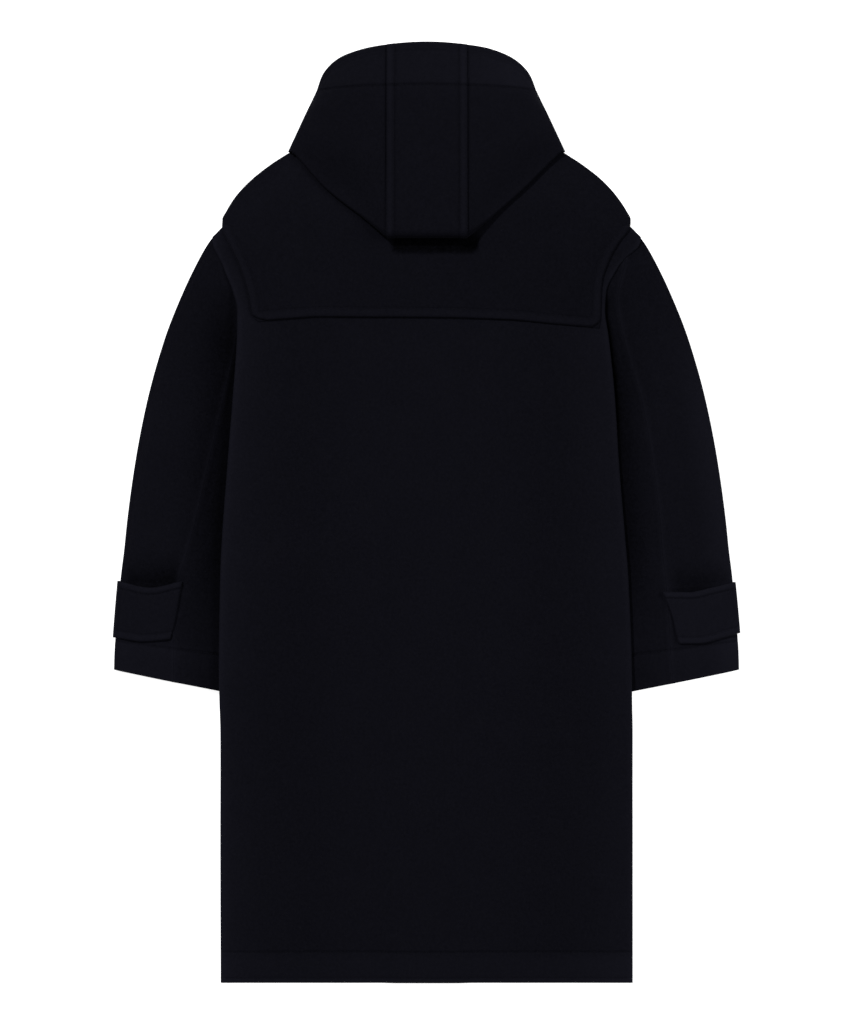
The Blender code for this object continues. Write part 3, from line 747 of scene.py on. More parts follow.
def make_strap(name, side):
    seam = SEAM_COLUMN[side]
    out = LAYER + WALL
    height = STRAP_TOP - STRAP_BOTTOM
    rows = places(0.0, height, 3.0, (0.0, 12.0, 0.9), (height, 12.0, 0.9))
    xs, ys, zs, ends = [], [], [], []
    for above in rows:
        up = above / height
        level = STRAP_BOTTOM + above
        outer = float(read(SLEEVE, "outer", level))
        end = STRAP_END[side][1] + (STRAP_END[side][0] - STRAP_END[side][1]) * up
        top = float(sleeve_top(np.array([-outer]), level, seam, side)[0])
        floor = float(read(SLEEVE, "floor", level))
        round_x, round_z = turned(-outer, top, top - floor, 1)
        under = np.linspace(STRAP_UNDER - outer, round_x[0], 9)[:-1]
        flat = round_x[-1] + (end - round_x[-1]) * np.linspace(0.0, 1.0, 30)[1:]
        flat = np.concatenate([flat[:-1], end - np.array([1.2, 0.6, 0.0])])
        x = np.concatenate([under, round_x, flat])
        on_sleeve = sleeve_top(flat, level, seam, side)
        z = np.concatenate([np.full(len(under), floor), round_z, on_sleeve])
        step_x, step_z = np.gradient(x), np.gradient(z)
        size = np.hypot(step_x, step_z)
        share = np.clip((x + outer) / (end + outer), 0.0, 1.0)
        share[: len(under) + ROLL_STEPS // 2] = 0.0
        xs.append(x - step_z / size * out)
        zs.append(z + step_x / size * out)
        ys.append(strap_place(side, share, up))
        ends.append(end - x)
    x, y, z, from_end = (np.array(part) for part in (xs, ys, zs, ends))
    up = rows[:, None] + np.zeros_like(x)
    across = np.minimum(up, height - up)
    relief = padded_edge(across, STRAP_STITCH, 1.4) + groove(across - STRAP_STITCH, 1.5, 0.7)
    relief += rounded(np.where(from_end < 60, from_end, 60.0))
    # painted highlight over the strap, brighter still on the beads along its edges
    painted_shading = PAINTED_HIGHLIGHT_STRAP[side] - 0.06 + 0.36 * bell(across - 4.0, 3.6)
    z = z + np.where(z > 9.0, relief, 0.0)
    if side > 0:
        x, y, z, painted_shading = -x[:, ::-1], y[:, ::-1], z[:, ::-1], painted_shading[:, ::-1]
    title = f"cuff_strap_{name}_cloth"
    cloths[title] = panel(title, x, y, z, painted_shading)


make_strap("left", -1)
make_strap("right", 1)

# %% [markdown]
# ## The yoke
#
# The shoulder cape lies over the back. Its lower edge is free: turned, stitched a finger's
# width in, and thick enough to throw a thin shadow. It goes over both shoulders, where it is
# turned under. It takes its height from the back below, so it drapes over the same swells.
# %% The yoke
def hem_line(x):
    return read(YOKE_HEM, "y", x)


def from_yoke_edge(x, y, turn):
    """Distance in from the yoke's free edge along one row, round its lower corners."""
    from_hem = y - hem_line(x)
    if turn >= 10:
        return np.minimum(from_hem, 99.0)
    from_side = np.minimum(x - x[0], x[-1] - x) * 0.94
    both = np.minimum(from_side, YOKE_CORNER), np.minimum(from_hem, YOKE_CORNER)
    round_corner = YOKE_CORNER - np.hypot(YOKE_CORNER - both[0], YOKE_CORNER - both[1])
    in_corner = (from_side < YOKE_CORNER) & (from_hem < YOKE_CORNER)
    return np.where(in_corner, round_corner, np.minimum(from_side, from_hem))


def yoke_painted_shading(x, y, near):
    """Painted highlight on its turned edge and towards the shoulders, painted shadow below the hood's
    fold; darker towards its right.
    """
    painted_shading = 0.34 * bell(near - 5.0, 4.0) - 0.12 * ease(20.0, 190.0, x) - 0.12
    painted_shading += 0.22 * ease(350.0, 470.0, y)
    # painted shadow on the yoke below the hood's fold
    beyond = np.hypot(np.maximum(np.abs(x - 11.5) - 48.5, 0.0), np.maximum(351.0 - y, 0.0))
    return painted_shading - 1.1 * (1 - ease(7.0, 11.0, beyond)) * (1 - ease(361.0, 372.0, y))


def make_yoke():
    low = float(YOKE["y"][0])
    rows = places(low, YOKE_TOP, 4.0, (low, 26.0, 1.1), (386.0, 14.0, 2.0))
    close = np.array([1.0, 2.0, 3.2, 4.8, 7.0, 10.0])
    share = np.linspace(0.0, 1.0, 106)[1:-1]
    xs, ys, zs, edges = [], [], [], []
    for level in rows:
        turn = float(read(YOKE, "turn", level))
        ends = []
        for column, way in (("left", -1), ("right", 1)):
            edge = abs(float(read(YOKE, column, level)))
            top = float(back_top(np.array([way * edge]), level)[0]) + LAYER + WALL
            if turn < 10:
                ends.append(plain_edge(-edge, top))
            else:
                round_part = float(ease(90.0, 180.0, turn))
                radius = 5.0 + (top / 2 - 5.0) * round_part
                ends.append(rolled_edge(-edge, top, radius, turn, 2.5 + 5.5 * round_part))
        start, stop = ends[0][0][-1], -ends[1][0][-1]
        inner_start, inner_stop = start + close[-1], stop - close[-1]
        flat = np.concatenate([
            start + close, inner_start + (inner_stop - inner_start) * share, stop - close[::-1],
        ])
        x = np.concatenate([ends[0][0], flat, -ends[1][0][::-1]])
        rise = max(1 - (level - low) / YOKE_HEM_DEPTH, 0.0)
        y = level + (hem_line(x) - low) * rise
        if rise > 0:
            below = np.array([float(back_top(np.array([a]), b)[0]) for a, b in zip(x, y)])
        else:
            below = back_top(x, level)
        z = below + LAYER + WALL
        if turn >= 10:
            z[: ROLL_STEPS + 2], z[-ROLL_STEPS - 2:] = ends[0][1], ends[1][1][::-1]
        xs.append(x)
        ys.append(y)
        zs.append(z)
        edges.append(from_yoke_edge(x, y, turn))
    x, y, z, near = (np.array(part) for part in (xs, ys, zs, edges))
    plain = read(YOKE, "turn", np.repeat(rows[:, None], x.shape[1], axis=1)) < 10
    fade = np.where(plain, 1.0, 0.0)
    relief = padded_edge(near, YOKE_STITCH, 1.3) + groove(near - YOKE_STITCH, 1.7, 0.8)
    return panel("yoke_cloth", x, y, np.maximum(z + fade * relief, 0.1), yoke_painted_shading(x, y, near))


cloths["yoke_cloth"] = make_yoke()

# %% [markdown]
# ## The hood
#
# A middle strip and two sides, folded down onto the back. Each line runs from the neck seam
# below, round the fold at the bottom, and over the top to the open edge. Its two long seams
# are felled: one edge is lapped over the other and stitched on both sides, which leaves a
# raised band. A facing inside the open edge is stitched through, 60 mm in at the middle.
# %% One line of the hood, and what is sewn into it
FELL_RISE = 1.2
FACING_NEAR = 0.03  # the share of a line that is modelled finely at the facing's stitches
CORNER_OUT = 0.8  # how far the side still bulges where it reaches the hood's open edge
BESIDE_SEAM = (0.0, 1.4, 2.8)  # a side's first lines, close together below the lapped edge
SIDE_UNDER = ((27.0, 402.0), (122.0, 545.0))  # where the cloth turned below it ends, low and high


def hood_place(rows, share):
    """A line's lower fold and open edge, on a smooth curve through the table."""
    spot = min(share, 0.9999) * (len(rows["share"]) - 1)
    i = int(spot)
    t = spot - i
    last = len(rows["share"]) - 1
    found = []
    for column in ("fold_x", "fold_y", "edge_x", "edge_y"):
        a, b, c, d = (rows[column][min(max(i + k, 0), last)] for k in (-1, 0, 1, 2))
        bend = 2 * a - 5 * b + 4 * c - d + t * (3 * (b - c) + d - a)
        found.append(b + 0.5 * t * (c - a + t * bend))
    return found


def facing_y(x):
    """The line on which the facing is stitched, across the hood."""
    return HOOD_FACING_Y - HOOD_FACING_DROP * (x / HOOD_HALF) ** 2


def hood_relief(from_edge, x, y):
    """Height that the facing and the stitches add, and the hood's own unevenness."""
    above = y - facing_y(x)
    lines = groove(above, 1.8, 1.2) + groove(from_edge - HOOD_EDGE_STITCH, 1.6, 0.7)
    return 0.7 * ease(-2.0, 2.5, above) + lines + uneven(x, y, 60.0, 1.2, 9.0)


def felled(from_seam, lapped):
    """The lapped piece stands up as a band over the seam; the other one dips below it."""
    if lapped:
        band = FELL_RISE * (1 - ease(FELL - 0.4, FELL + 1.8, from_seam))
        return band + groove(from_seam - FELL - 2.2, 1.3, 0.4)
    dip = -1.6 * (1 - ease(FELL + 0.2, FELL + 2.2, from_seam))
    return dip + groove(from_seam - FELL - 1.5, 1.6, 0.3)


def hood_stations(low, high):
    """Places along a line's top, crowded at the facing's stitches and at the open edge."""
    at = 0.75
    for _ in range(4):
        at = (facing_y(low[0] + (high[0] - low[0]) * at) - low[1]) / (high[1] - low[1])
    before, after = min(at, 0.93) - FACING_NEAR, min(at, 0.93) + FACING_NEAR
    return np.concatenate([
        before * np.linspace(0.0, 1.0, 44)[:-1] ** 0.9,
        np.linspace(before, after, 13)[:-1],
        after + (1 - after) * (1 - (1 - np.linspace(0.0, 1.0, 21)) ** 1.4),
    ])


def hood_line(fold, edge, share, lift):
    """The points along one line of the hood, raised by lift, and where its top starts and stops."""
    fold, edge = np.array(fold), np.array(edge)
    down = (fold - edge) / np.linalg.norm(fold - edge)
    drop = 1 - (1 - min(share / 0.5, 1.0)) ** 2.2
    rest = HOOD_REST - HOOD_SIDE_REST * float(ease(0.0, 0.4, share))

    def top(along):
        middle, side = read(HOOD_HEIGHT, "middle", along), read(HOOD_HEIGHT, "side", along)
        late = share**3
        return middle + (side - middle) * (drop + (late - drop) * ease(0.0, 0.42, along))

    radius = (float(top(0.0)) - rest) / 2
    turn_from = fold - down * radius
    run = 4.0 + (HOOD_NECK_RUN - 4.0) * (1 - share)
    spots = [(*(turn_from - down * back), rest - lift) for back in np.linspace(run, 0.0, 8)]
    for a in np.linspace(pi, 0.0, 2 * ROLL_STEPS + 1)[1:-1]:
        out = (radius + 0.3 * lift) * sin(a)
        spots.append((*(turn_from + down * out), rest + radius + (radius + lift) * cos(a)))
    start = len(spots)
    turn_to = edge + down * HOOD_EDGE_RADIUS
    length = np.linalg.norm(turn_from - turn_to) + HOOD_EDGE_RADIUS
    for along in hood_stations(turn_from, turn_to):
        at = turn_from + (turn_to - turn_from) * along
        relief = hood_relief(length * (1 - along), at[0:1], at[1:2])[0]
        spots.append((*at, float(top(along)) + lift + float(relief) * float(ease(0.0, 0.1, along))))
    stop = len(spots)
    last = spots[-1][2]
    for a in np.linspace(0.0, pi / 2, 6)[1:]:
        at = turn_to - down * HOOD_EDGE_RADIUS * sin(a)
        spots.append((*at, last - HOOD_EDGE_RADIUS * (1 - cos(a))))
    spots.append((*edge, 0.2))
    return np.array(spots), start, stop


HOOD_NEAR_RIM = np.array(  # places in from the strip's edge, close where it is stepped or stitched
    [0.0, 0.5, 1.1, 2.0, 3.4, 5.0, 7.0, 8.6, 9.6, 10.4, 11.2, 12.0, 13.0, 14.5, 17.0]
)


def hood_painted_shading(x, y):
    """Painted highlight on the facing, most on its right, on a patch of the crown at the right and on
    both felled seams; painted shade at the facing's stitches, beside the seams and on the left side.
    """
    above = y - facing_y(x)
    painted_shading = (0.16 + 0.14 * x / HOOD_HALF) * ease(-2.0, 3.0, above) - 0.07 - 0.34 * bell(above, 1.5)
    painted_shading += 0.34 * bell(x - 112.0, 34.0) * bell(y - 578.0, 20.0)
    painted_shading -= 0.12 * bell(x + 105.0, 50.0) * bell(y - 500.0, 60.0)
    # painted highlight on each felled band and painted shade in the grooves beside it
    for seam in (HOOD_SEAM_LEFT, HOOD_SEAM_RIGHT):
        painted_shading += 0.46 * bell(x - seam + 0.8, 3.2) - 0.2 * bell(np.abs(x - seam) - 6.4, 1.6)
    return painted_shading


def make_hood_middle():
    left, right = HOOD_SEAM_LEFT - FELL, HOOD_SEAM_RIGHT + FELL
    inner = np.linspace(left + HOOD_NEAR_RIM[-1], right - HOOD_NEAR_RIM[-1], 18)[1:-1]
    lines = []
    for x in np.concatenate([left + HOOD_NEAR_RIM, inner, (right - HOOD_NEAR_RIM)[::-1]]):
        crown = HOOD_CROWN_Y - HOOD_CROWN_DROP * (x / HOOD_SEAM_RIGHT) ** 2
        from_rim = min(x - left, right - x)
        lift = float(felled(max(from_rim - FELL, 0.0), True)) + float(rounded(from_rim, 1.5))
        lines.append(hood_line((x, HOOD_FOLD_Y), (x, crown), 0.0, lift)[0])
    spots = np.array(lines).transpose(1, 0, 2)
    x, y, z = spots[..., 0], spots[..., 1], spots[..., 2]
    return panel("hood_centre_cloth", x, y, z, hood_painted_shading(x, y))


def hood_ends(rows, share, side):
    """A line's two ends, the lower one drawn in where the hood's side will be turned under."""
    fold_x, fold_y, edge_x, edge_y = hood_place(rows, share)
    late = side * float(ease(0.5, 1.0, share))
    return (fold_x - late * HOOD_HEIGHT["side"][0] / 2, fold_y), (edge_x - late * CORNER_OUT, edge_y)


def make_hood_side(name, rows, side):
    """Past the shoulder the outer edge turns below, to the hood's front corner."""
    lines = []
    beside = HOOD_STRAIGHT + SEAM / 2
    first = [rows[column][0] for column in ("fold_x", "fold_y", "edge_x", "edge_y")]
    for off in BESIDE_SEAM:
        fold = (first[0] - side * (HOOD_STRAIGHT - off), first[1])
        edge = (first[2] - side * (HOOD_STRAIGHT - off), first[3])
        lines.append(hood_line(fold, edge, 0.0, float(felled(off, False)))[0])
    close = [0.0, 0.008, 0.018, 0.03, 0.045, 0.065]
    shares = np.concatenate([close, np.linspace(0.09, 1.0, 40)])
    for share in shares:
        fold, edge = hood_ends(rows, share, side)
        lift = float(felled(beside + abs(hood_place(rows, share)[0] - rows["fold_x"][0]), False))
        line, start, stop = hood_line(fold, edge, share, lift)
        lines.append(line)
    last = lines[-1]
    low, high = (np.array((side * x, y)) for x, y in SIDE_UNDER)
    from_low, whole = last[:, 1] - last[start, 1], last[stop - 1, 1] - last[start, 1]
    along = np.clip(from_low / whole, 0.0, 1.0)
    far = low + (high - low) * along[:, None]
    radius = last[:, 2] / 2
    out = HOOD_HEIGHT["side"][0] / 2 * (1 - along) + CORNER_OUT * along
    for a in np.linspace(0.0, pi, ROLL_STEPS + 1)[1:]:
        spots = last.copy()
        spots[:, 0] += side * out * sin(a)
        spots[:, 2] = radius + radius * cos(a)
        lines.append(spots)
    for part in np.linspace(0.0, 1.0, 12)[1:]:
        spots = last.copy()
        spots[:, :2] += (far - last[:, :2]) * part
        spots[:, 2] = 0.0
        lines.append(spots)
    spots = np.array(lines).transpose(1, 0, 2)
    turned_from = len(BESIDE_SEAM) + len(shares)
    gone = [
        (row, column)
        for row in range(spots.shape[0])
        for column in range(turned_from + 1, spots.shape[1])
        if not start <= row < stop
    ]
    if side < 0:
        spots = spots[:, ::-1]
        gone = [(row, spots.shape[1] - 1 - column) for row, column in gone]
    x, y, z = spots[..., 0], spots[..., 1], spots[..., 2]
    return panel(f"hood_side_{name}_cloth", x, y, z, hood_painted_shading(x, y), gone)


cloths["hood_centre_cloth"] = make_hood_middle()
cloths["hood_side_left_cloth"] = make_hood_side("left", HOOD_LEFT, -1)
cloths["hood_side_right_cloth"] = make_hood_side("right", HOOD_RIGHT, 1)

# %% [markdown]
# ## The melton
#
# Colour, painted light and shade, and bump come from one node group, so the thread and the cloth can
# share it. Noise at four sizes makes slow patches, the mottling of milled wool, its short fibres and a
# few paler ones. An attribute adds painted highlight on edges, beads, seams and the hood's facing, and
# painted shade on stitch lines, above the straps, beside the body and below the hood's fold. The shader
# itself stays plain: very rough, hardly any gloss, and a faint sheen that lifts the edges.
# %% The node group for milled wool
def wool_group():
    group = bpy.data.node_groups.new("milled wool", "ShaderNodeTree")
    sockets = (("Colour", "NodeSocketColor"), ("Pale", "NodeSocketColor"),
               ("Mottling", "NodeSocketFloat"), ("Depth", "NodeSocketFloat"))
    for title, kind in sockets:
        group.interface.new_socket(title, in_out="INPUT", socket_type=kind)
    for title, kind in (("Colour", "NodeSocketColor"), ("Roughness", "NodeSocketFloat"),
                        ("Normal", "NodeSocketVector")):
        group.interface.new_socket(title, in_out="OUTPUT", socket_type=kind)
    nodes, links = group.nodes, group.links
    given = nodes.new("NodeGroupInput")
    result = nodes.new("NodeGroupOutput")
    spot = nodes.new("ShaderNodeTexCoord")

    def grain(scale, detail, rough=0.6, twist=0.0):
        made = nodes.new("ShaderNodeTexNoise")
        made.inputs["Scale"].default_value = scale
        made.inputs["Detail"].default_value = detail
        made.inputs["Roughness"].default_value = rough
        made.inputs["Distortion"].default_value = twist
        links.new(spot.outputs["Object"], made.inputs["Vector"])
        return made.outputs["Fac"]

    def maths(kind, first, second, clamp=False):
        made = nodes.new("ShaderNodeMath")
        made.operation = kind
        made.use_clamp = clamp
        for socket, value in zip(made.inputs, (first, second)):
            if isinstance(value, (int, float)):
                socket.default_value = value
            else:
                links.new(value, socket)
        return made.outputs[0]

    def mix(amount, first, second):
        made = nodes.new("ShaderNodeMix")
        made.data_type = "RGBA"
        links.new(amount, made.inputs["Factor"])
        links.new(first, made.inputs["A"])
        links.new(second, made.inputs["B"])
        return made.outputs["Result"]

    patches = grain(30.0, 2.0)
    mottles = grain(260.0, 3.0, 0.65, 0.4)
    fibres = grain(1500.0, 2.0, 0.7, 1.2)
    painted_shading = nodes.new("ShaderNodeAttribute")
    painted_shading.attribute_name = "painted_shading"
    shade = maths("MULTIPLY", maths("SUBTRACT", mottles, 0.5), given.outputs["Mottling"])
    shade = maths("ADD", shade, maths("MULTIPLY", maths("SUBTRACT", fibres, 0.5), 0.55))
    shade = maths("ADD", shade, maths("MULTIPLY", maths("SUBTRACT", patches, 0.5), 0.14))
    # the painted light and shade from the mesh's attribute raise or lower the colour
    shade = maths("ADD", shade, maths("MULTIPLY", painted_shading.outputs["Fac"], 0.62))
    level = maths("ADD", maths("MULTIPLY", shade, 0.5), 0.5, clamp=True)
    # the darkest and the brightest the wool's colour goes, for its mottling and for the painted light
    # and shade
    dark = nodes.new("ShaderNodeHueSaturation")
    dark.inputs["Value"].default_value = 0.0
    links.new(given.outputs["Colour"], dark.inputs["Color"])
    bright = nodes.new("ShaderNodeHueSaturation")
    bright.inputs["Value"].default_value = 2.0
    links.new(given.outputs["Colour"], bright.inputs["Color"])
    body = mix(level, dark.outputs[0], bright.outputs[0])
    strays = nodes.new("ShaderNodeMapRange")
    strays.inputs["From Min"].default_value = 0.70
    strays.inputs["From Max"].default_value = 0.80
    links.new(grain(620.0, 1.0, 0.5, 3.0), strays.inputs["Value"])
    strays.inputs["To Max"].default_value = 0.5
    links.new(mix(strays.outputs[0], body, given.outputs["Pale"]), result.inputs["Colour"])
    rough = maths("ADD", maths("MULTIPLY", fibres, 0.12), 0.84)
    links.new(rough, result.inputs["Roughness"])
    height = maths("ADD", maths("MULTIPLY", mottles, 0.55), maths("MULTIPLY", fibres, 0.3))
    bump = nodes.new("ShaderNodeBump")
    bump.inputs["Distance"].default_value = 0.0008
    links.new(given.outputs["Depth"], bump.inputs["Strength"])
    links.new(height, bump.inputs["Height"])
    links.new(bump.outputs["Normal"], result.inputs["Normal"])
    return group


WOOL = wool_group()


def wool_material(name, colour, pale, mottling, depth, sheen):
    material = bpy.data.materials.new(name)
    material.use_nodes = True
    nodes, links = material.node_tree.nodes, material.node_tree.links
    shader = nodes["Principled BSDF"]
    wool = nodes.new("ShaderNodeGroup")
    wool.node_tree = WOOL
    wool.inputs["Colour"].default_value = (*colour, 1.0)
    wool.inputs["Pale"].default_value = (*pale, 1.0)
    wool.inputs["Mottling"].default_value = mottling
    wool.inputs["Depth"].default_value = depth
    links.new(wool.outputs["Colour"], shader.inputs["Base Color"])
    links.new(wool.outputs["Roughness"], shader.inputs["Roughness"])
    links.new(wool.outputs["Normal"], shader.inputs["Normal"])
    shader.inputs["Specular IOR Level"].default_value = 0.01
    shader.inputs["Sheen Weight"].default_value = sheen
    shader.inputs["Sheen Roughness"].default_value = 0.4
    shader.inputs["Sheen Tint"].default_value = (0.75, 0.8, 1.0, 1.0)
    return material


navy = tuple(frame["record"]["materials"][0]["base_color"][:3])
melton = wool_material("navy melton", navy, (0.02, 0.021, 0.027), 0.75, 0.5, 0.012)
thread = wool_material("navy thread", [1.25 * c for c in navy], (0.01, 0.01, 0.014), 0.4, 0.3, 0.02)
for cloth in cloths.values():
    cloth.data.materials.clear()
    cloth.data.materials.append(melton)
print("melton base colour:", navy)

# %% [markdown]
# ## The stitches
#
# Topstitching in matching thread runs beside every edge. Each stitch is a small spindle that
# lies in the groove its line has pressed. A line is a few points in plan: a ray from above
# finds the cloth below each stitch, so the thread follows every swell.
# %% Stitches along a line
STITCH = 3.6  # length of a stitch
STITCH_GAP = 1.1
THREAD = 0.42  # half its thickness
THREAD_PROUD = 0.12  # how far its middle lies above the cloth
STITCH_STEP = 2.5  # no stitch is made where the cloth drops by more than this under it


def lowered(cloth):
    """A tree that answers where a ray meets the cloth."""
    mesh = bmesh.new()
    mesh.from_mesh(cloth.data)
    tree = BVHTree.FromBMesh(mesh)
    mesh.free()
    return tree


trees = {name: lowered(cloth) for name, cloth in cloths.items()}


def ground(names, x, y):
    """The highest cloth at a place, in millimetres, or None."""
    above, down = Vector((x * MM, y * MM, 0.2)), Vector((0, 0, -1))
    found = [trees[name].ray_cast(above, down)[0] for name in names]
    heights = [spot.z / MM for spot in found if spot is not None]
    return max(heights) if heights else None


def stitches(name, on, lines):
    """One joined mesh of stitches along lines of (x, y) points in plan."""
    sewn = bmesh.new()
    count = 0
    for line in lines:
        line = np.array(line, float)
        steps = np.hypot(*np.diff(line, axis=0).T)
        total = np.concatenate(([0.0], np.cumsum(steps)))
        for start in np.arange(1.0, total[-1] - STITCH, STITCH + STITCH_GAP):
            ends = []
            for at in (start, start + STITCH):
                x, y = (float(np.interp(at, total, line[:, k])) for k in (0, 1))
                z = ground(on, x, y)
                ends.append(None if z is None else Vector((x, y, z + THREAD_PROUD)))
            if None in ends or abs(ends[0].z - ends[1].z) > STITCH_STEP:
                continue
            way = ends[1] - ends[0]
            turn = way.to_track_quat("Z", "X").to_matrix().to_4x4()
            size = Matrix.Diagonal((THREAD, THREAD * 0.9, way.length / 2, 1.0))
            place = Matrix.Translation((ends[0] + ends[1]) / 2) @ turn @ size
            bmesh.ops.create_uvsphere(
                sewn, u_segments=6, v_segments=4, radius=1.0, matrix=Matrix.Scale(MM, 4) @ place
            )
            count += 1
    mesh = bpy.data.meshes.new(name)
    sewn.to_mesh(mesh)
    sewn.free()
    mesh.shade_smooth()
    mesh.materials.append(thread)
    made = bpy.data.objects.new(name, mesh)
    scene.collection.objects.link(made)
    print(f"{name}: {count} stitches, {2 * len(mesh.polygons)} triangles at most")
    return made


def body_edge(y, inset):
    return read(BODY, "left", y) + inset, read(BODY, "right", y) - inset


def across_body(above):
    y = HEM_Y + above
    left, right = body_edge(y, 6.0)
    return [(x, y) for x in np.linspace(left, right, 60)]


def yoke_line(inset):
    """Up the right side, along the lower edge and up the left side, with round corners."""
    levels = np.linspace(370.0, 262.0, 50)
    left = [(read(YOKE, "left", y) + inset * 1.02, y) for y in levels]
    right = [(read(YOKE, "right", y) - inset * 1.02, y) for y in levels[::-1]]
    low = [(x, hem_line(x) + inset) for x in np.linspace(-229 + inset + 8, 229 - inset - 8, 90)]
    return left + low + right


sewn = {
    "back": stitches("hem_stitches", ["back"], [across_body(HEM_DEPTH), across_body(HEM_EDGE_STITCH)]),
    "yoke_cloth": stitches("yoke_stitches", ["yoke_cloth"], [yoke_line(YOKE_STITCH)]),
}

# %% Stitches of the hood, cuffs and straps
def seam_lines():
    """Both sides of both felled seams, from the lower fold to the open edge."""
    lines = []
    for seam in (HOOD_SEAM_LEFT, HOOD_SEAM_RIGHT):
        for way in (-1, 1):
            x = seam + way * (FELL - 0.6)
            lines.append([(x, y) for y in np.linspace(HOOD_FOLD_Y + 1.5, HOOD_CROWN_Y - 9, 60)])
    return lines


def facing_line():
    return [(x, facing_y(x)) for x in np.linspace(-142.0, 142.0, 60)]


def hood_cross(inset):
    """A line across the hood, a distance in from its open edge."""
    spots = []
    for rows, order in ((HOOD_LEFT, -1), (HOOD_RIGHT, 1)):
        half = []
        for share in np.linspace(0.0, 0.97, 40):
            fold, edge = (np.array(end) for end in hood_ends(rows, share, order))
            down = (fold - edge) / np.linalg.norm(fold - edge)
            half.append(tuple(edge + down * inset))
        spots += half[::-1] if order < 0 else half
    return spots


def cuff_line(side):
    y = float(SLEEVE["y"][0]) + CUFF_DEPTH
    outer = -float(read(SLEEVE, "outer", y))
    edge = -float(outline(side, y))
    line = [(x, y + float(sleeve_shift(x, y))) for x in np.linspace(outer + 4, edge - 2, 40)]
    return [(-side * x, at) for x, at in line] if side > 0 else line


def strap_lines(side):
    """Along both long edges of a strap, from the outer edge to its end."""
    height = STRAP_TOP - STRAP_BOTTOM
    lines = []
    for up in (STRAP_STITCH / height, 1 - STRAP_STITCH / height):
        outer = -float(read(SLEEVE, "outer", STRAP_BOTTOM + height * up)) - WALL
        end = STRAP_END[side][1] + (STRAP_END[side][0] - STRAP_END[side][1]) * up - 3.0
        line = [
            (outer + (end - outer) * share, float(strap_place(side, share, up)))
            for share in np.linspace(0.04, 1.0, 30)
        ]
        lines.append([(-side * x if side > 0 else x, y) for x, y in line])
    return lines


hood_parts = ["hood_centre_cloth", "hood_side_left_cloth", "hood_side_right_cloth"]
sewn["hood_centre_cloth"] = stitches(
    "hood_stitches", hood_parts, seam_lines() + [facing_line(), hood_cross(HOOD_EDGE_STITCH)]
)
for name, side in (("left", -1), ("right", 1)):
    sleeve_parts = [f"sleeve_outer_{name}_cloth", f"sleeve_inner_{name}_cloth"]
    strap = f"cuff_strap_{name}_cloth"
    sewn[sleeve_parts[0]] = stitches(f"cuff_{name}_stitches", sleeve_parts, [cuff_line(side)])
    sewn[strap] = stitches(f"strap_{name}_stitches", [strap], strap_lines(side))

# %% [markdown]
# ## Who stands for what
#
# Each cloth rides on the coat's one body and stands for its plain solid, which is hidden. The
# table lists what flat piece it was cut from, how it is held and on what it lies; nothing reads
# those columns. The stitches go with their cloth.
# %% Ride and replace
CUT = {  # cloth: node, cut width and length, held, what it lies on
    "back": ("back_panel", 0.60, 1.15, "laid", ["front_left_cloth", "front_right_cloth"]),
    "front_left_cloth": ("front_left", 0.33, 1.15, "laid", []),
    "front_right_cloth": ("front_right", 0.33, 1.15, "laid", ["front_left_cloth"]),
    "yoke_cloth": ("yoke", 0.58, 0.25, "laid", ["back"]),
    "sleeve_outer_left_cloth": ("sleeve_outer_left", 0.17, 0.64, "laid", []),
    "sleeve_inner_left_cloth": ("sleeve_inner_left", 0.19, 0.62, "laid", []),
    "sleeve_outer_right_cloth": ("sleeve_outer_right", 0.17, 0.64, "laid", []),
    "sleeve_inner_right_cloth": ("sleeve_inner_right", 0.19, 0.62, "laid", []),
    "cuff_strap_left_cloth": ("cuff_strap_left", 0.16, 0.075, "folded", ["sleeve_outer_left_cloth"]),
    "cuff_strap_right_cloth": ("cuff_strap_right", 0.17, 0.075, "folded", ["sleeve_outer_right_cloth"]),
    "hood_centre_cloth": ("hood_centre", 0.10, 0.39, "folded", ["yoke_cloth"]),
    "hood_side_left_cloth": ("hood_side_left", 0.17, 0.33, "folded", ["yoke_cloth"]),
    "hood_side_right_cloth": ("hood_side_right", 0.17, 0.33, "folded", ["yoke_cloth"]),
}
for name, (node, width, length, held, below) in CUT.items():
    cloth = cloths[name]
    pieces = [cloth] + ([sewn[name]] if name in sewn else [])
    for piece in pieces:
        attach(piece, "root")
    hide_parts(node)
    low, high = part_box(node)
    spots = np.array([v.co for v in cloth.data.vertices])
    off = max(abs(spots.min(0) - np.array(low)).max(), abs(spots.max(0) - np.array(high)).max())
    print(f"{name}: {off / MM:.1f} mm at most from its solid's box,", end=" ")
    print(f"lowest point {spots[:, 2].min() / MM:.1f} mm")

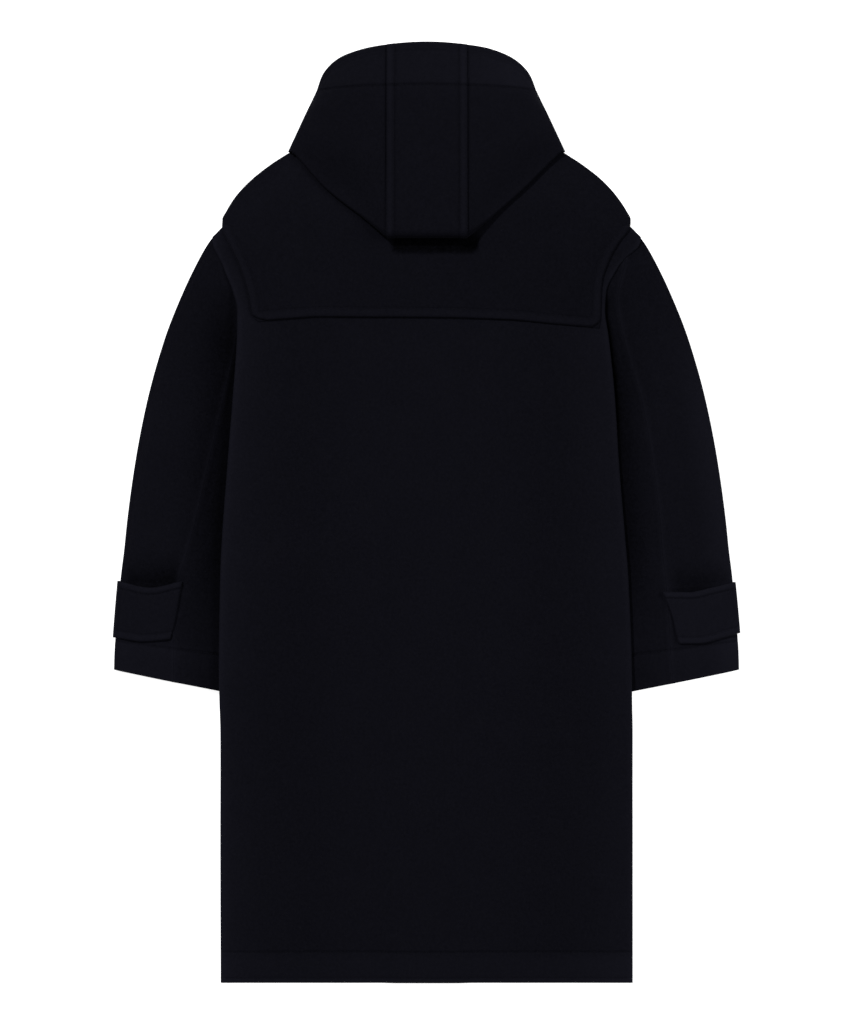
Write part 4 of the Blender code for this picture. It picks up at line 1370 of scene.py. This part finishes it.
# %% [markdown]
# ## Floor, light and camera
#
# A plain white floor that glows a little, as a light table does, keeps the surroundings clean
# and lifts the turned edges. An even sky lights everything, a small lamp at the upper left draws
# the thin shadows, and a large, weaker one at the right fills them. The camera looks straight
# down from far away.
# %% Floor, light and camera
CAMERA_HEIGHT = 4.0
VIEW_HEIGHT = 1.352  # what the picture shows, from its top to its bottom
COAT_LEVEL = 0.008  # the height of the cloth that this is measured at


def make_floor():
    grid = bmesh.new()
    bmesh.ops.create_grid(grid, x_segments=1, y_segments=1, size=6.0)
    bmesh.ops.translate(grid, verts=grid.verts, vec=(0.0, 0.0, -0.0004))
    mesh = bpy.data.meshes.new("floor")
    grid.to_mesh(mesh)
    grid.free()
    floor = bpy.data.objects.new("floor", mesh)
    scene.collection.objects.link(floor)
    white = bpy.data.materials.new("white floor")
    white.use_nodes = True
    shader = white.node_tree.nodes["Principled BSDF"]
    shader.inputs["Base Color"].default_value = (0.86, 0.86, 0.86, 1.0)
    shader.inputs["Roughness"].default_value = 0.9
    shader.inputs["Emission Color"].default_value = (1.0, 1.0, 1.0, 1.0)
    shader.inputs["Emission Strength"].default_value = 0.85
    mesh.materials.append(white)


def lamp(name, place, size, power):
    light = bpy.data.lights.new(name, "AREA")
    light.shape = "DISK"
    light.size = size
    light.energy = power
    made = bpy.data.objects.new(name, light)
    made.location = place
    made.rotation_euler = (-Vector(place)).to_track_quat("-Z", "Y").to_euler()
    scene.collection.objects.link(made)


def make_light():
    world = bpy.data.worlds.new("even sky")
    world.use_nodes = True
    world.node_tree.nodes["Background"].inputs["Color"].default_value = (1.0, 1.0, 1.0, 1.0)
    world.node_tree.nodes["Background"].inputs["Strength"].default_value = 0.28
    scene.world = world
    lamp("window", (-4.1, 5.4, 8.0), 0.8, 660.0)
    lamp("fill from the right", (6.0, 1.0, 5.5), 4.0, 215.0)


def make_camera():
    lens = bpy.data.cameras.new("camera")
    lens.sensor_fit = "VERTICAL"
    lens.sensor_height = 24.0
    lens.lens = lens.sensor_height * CAMERA_HEIGHT / VIEW_HEIGHT
    lens.clip_end = 50.0
    camera = bpy.data.objects.new("camera", lens)
    camera.location = (0.0, 0.0, CAMERA_HEIGHT + COAT_LEVEL)
    scene.collection.objects.link(camera)
    scene.camera = camera


make_floor()
make_light()
make_camera()
scene.view_settings.view_transform = "Standard"
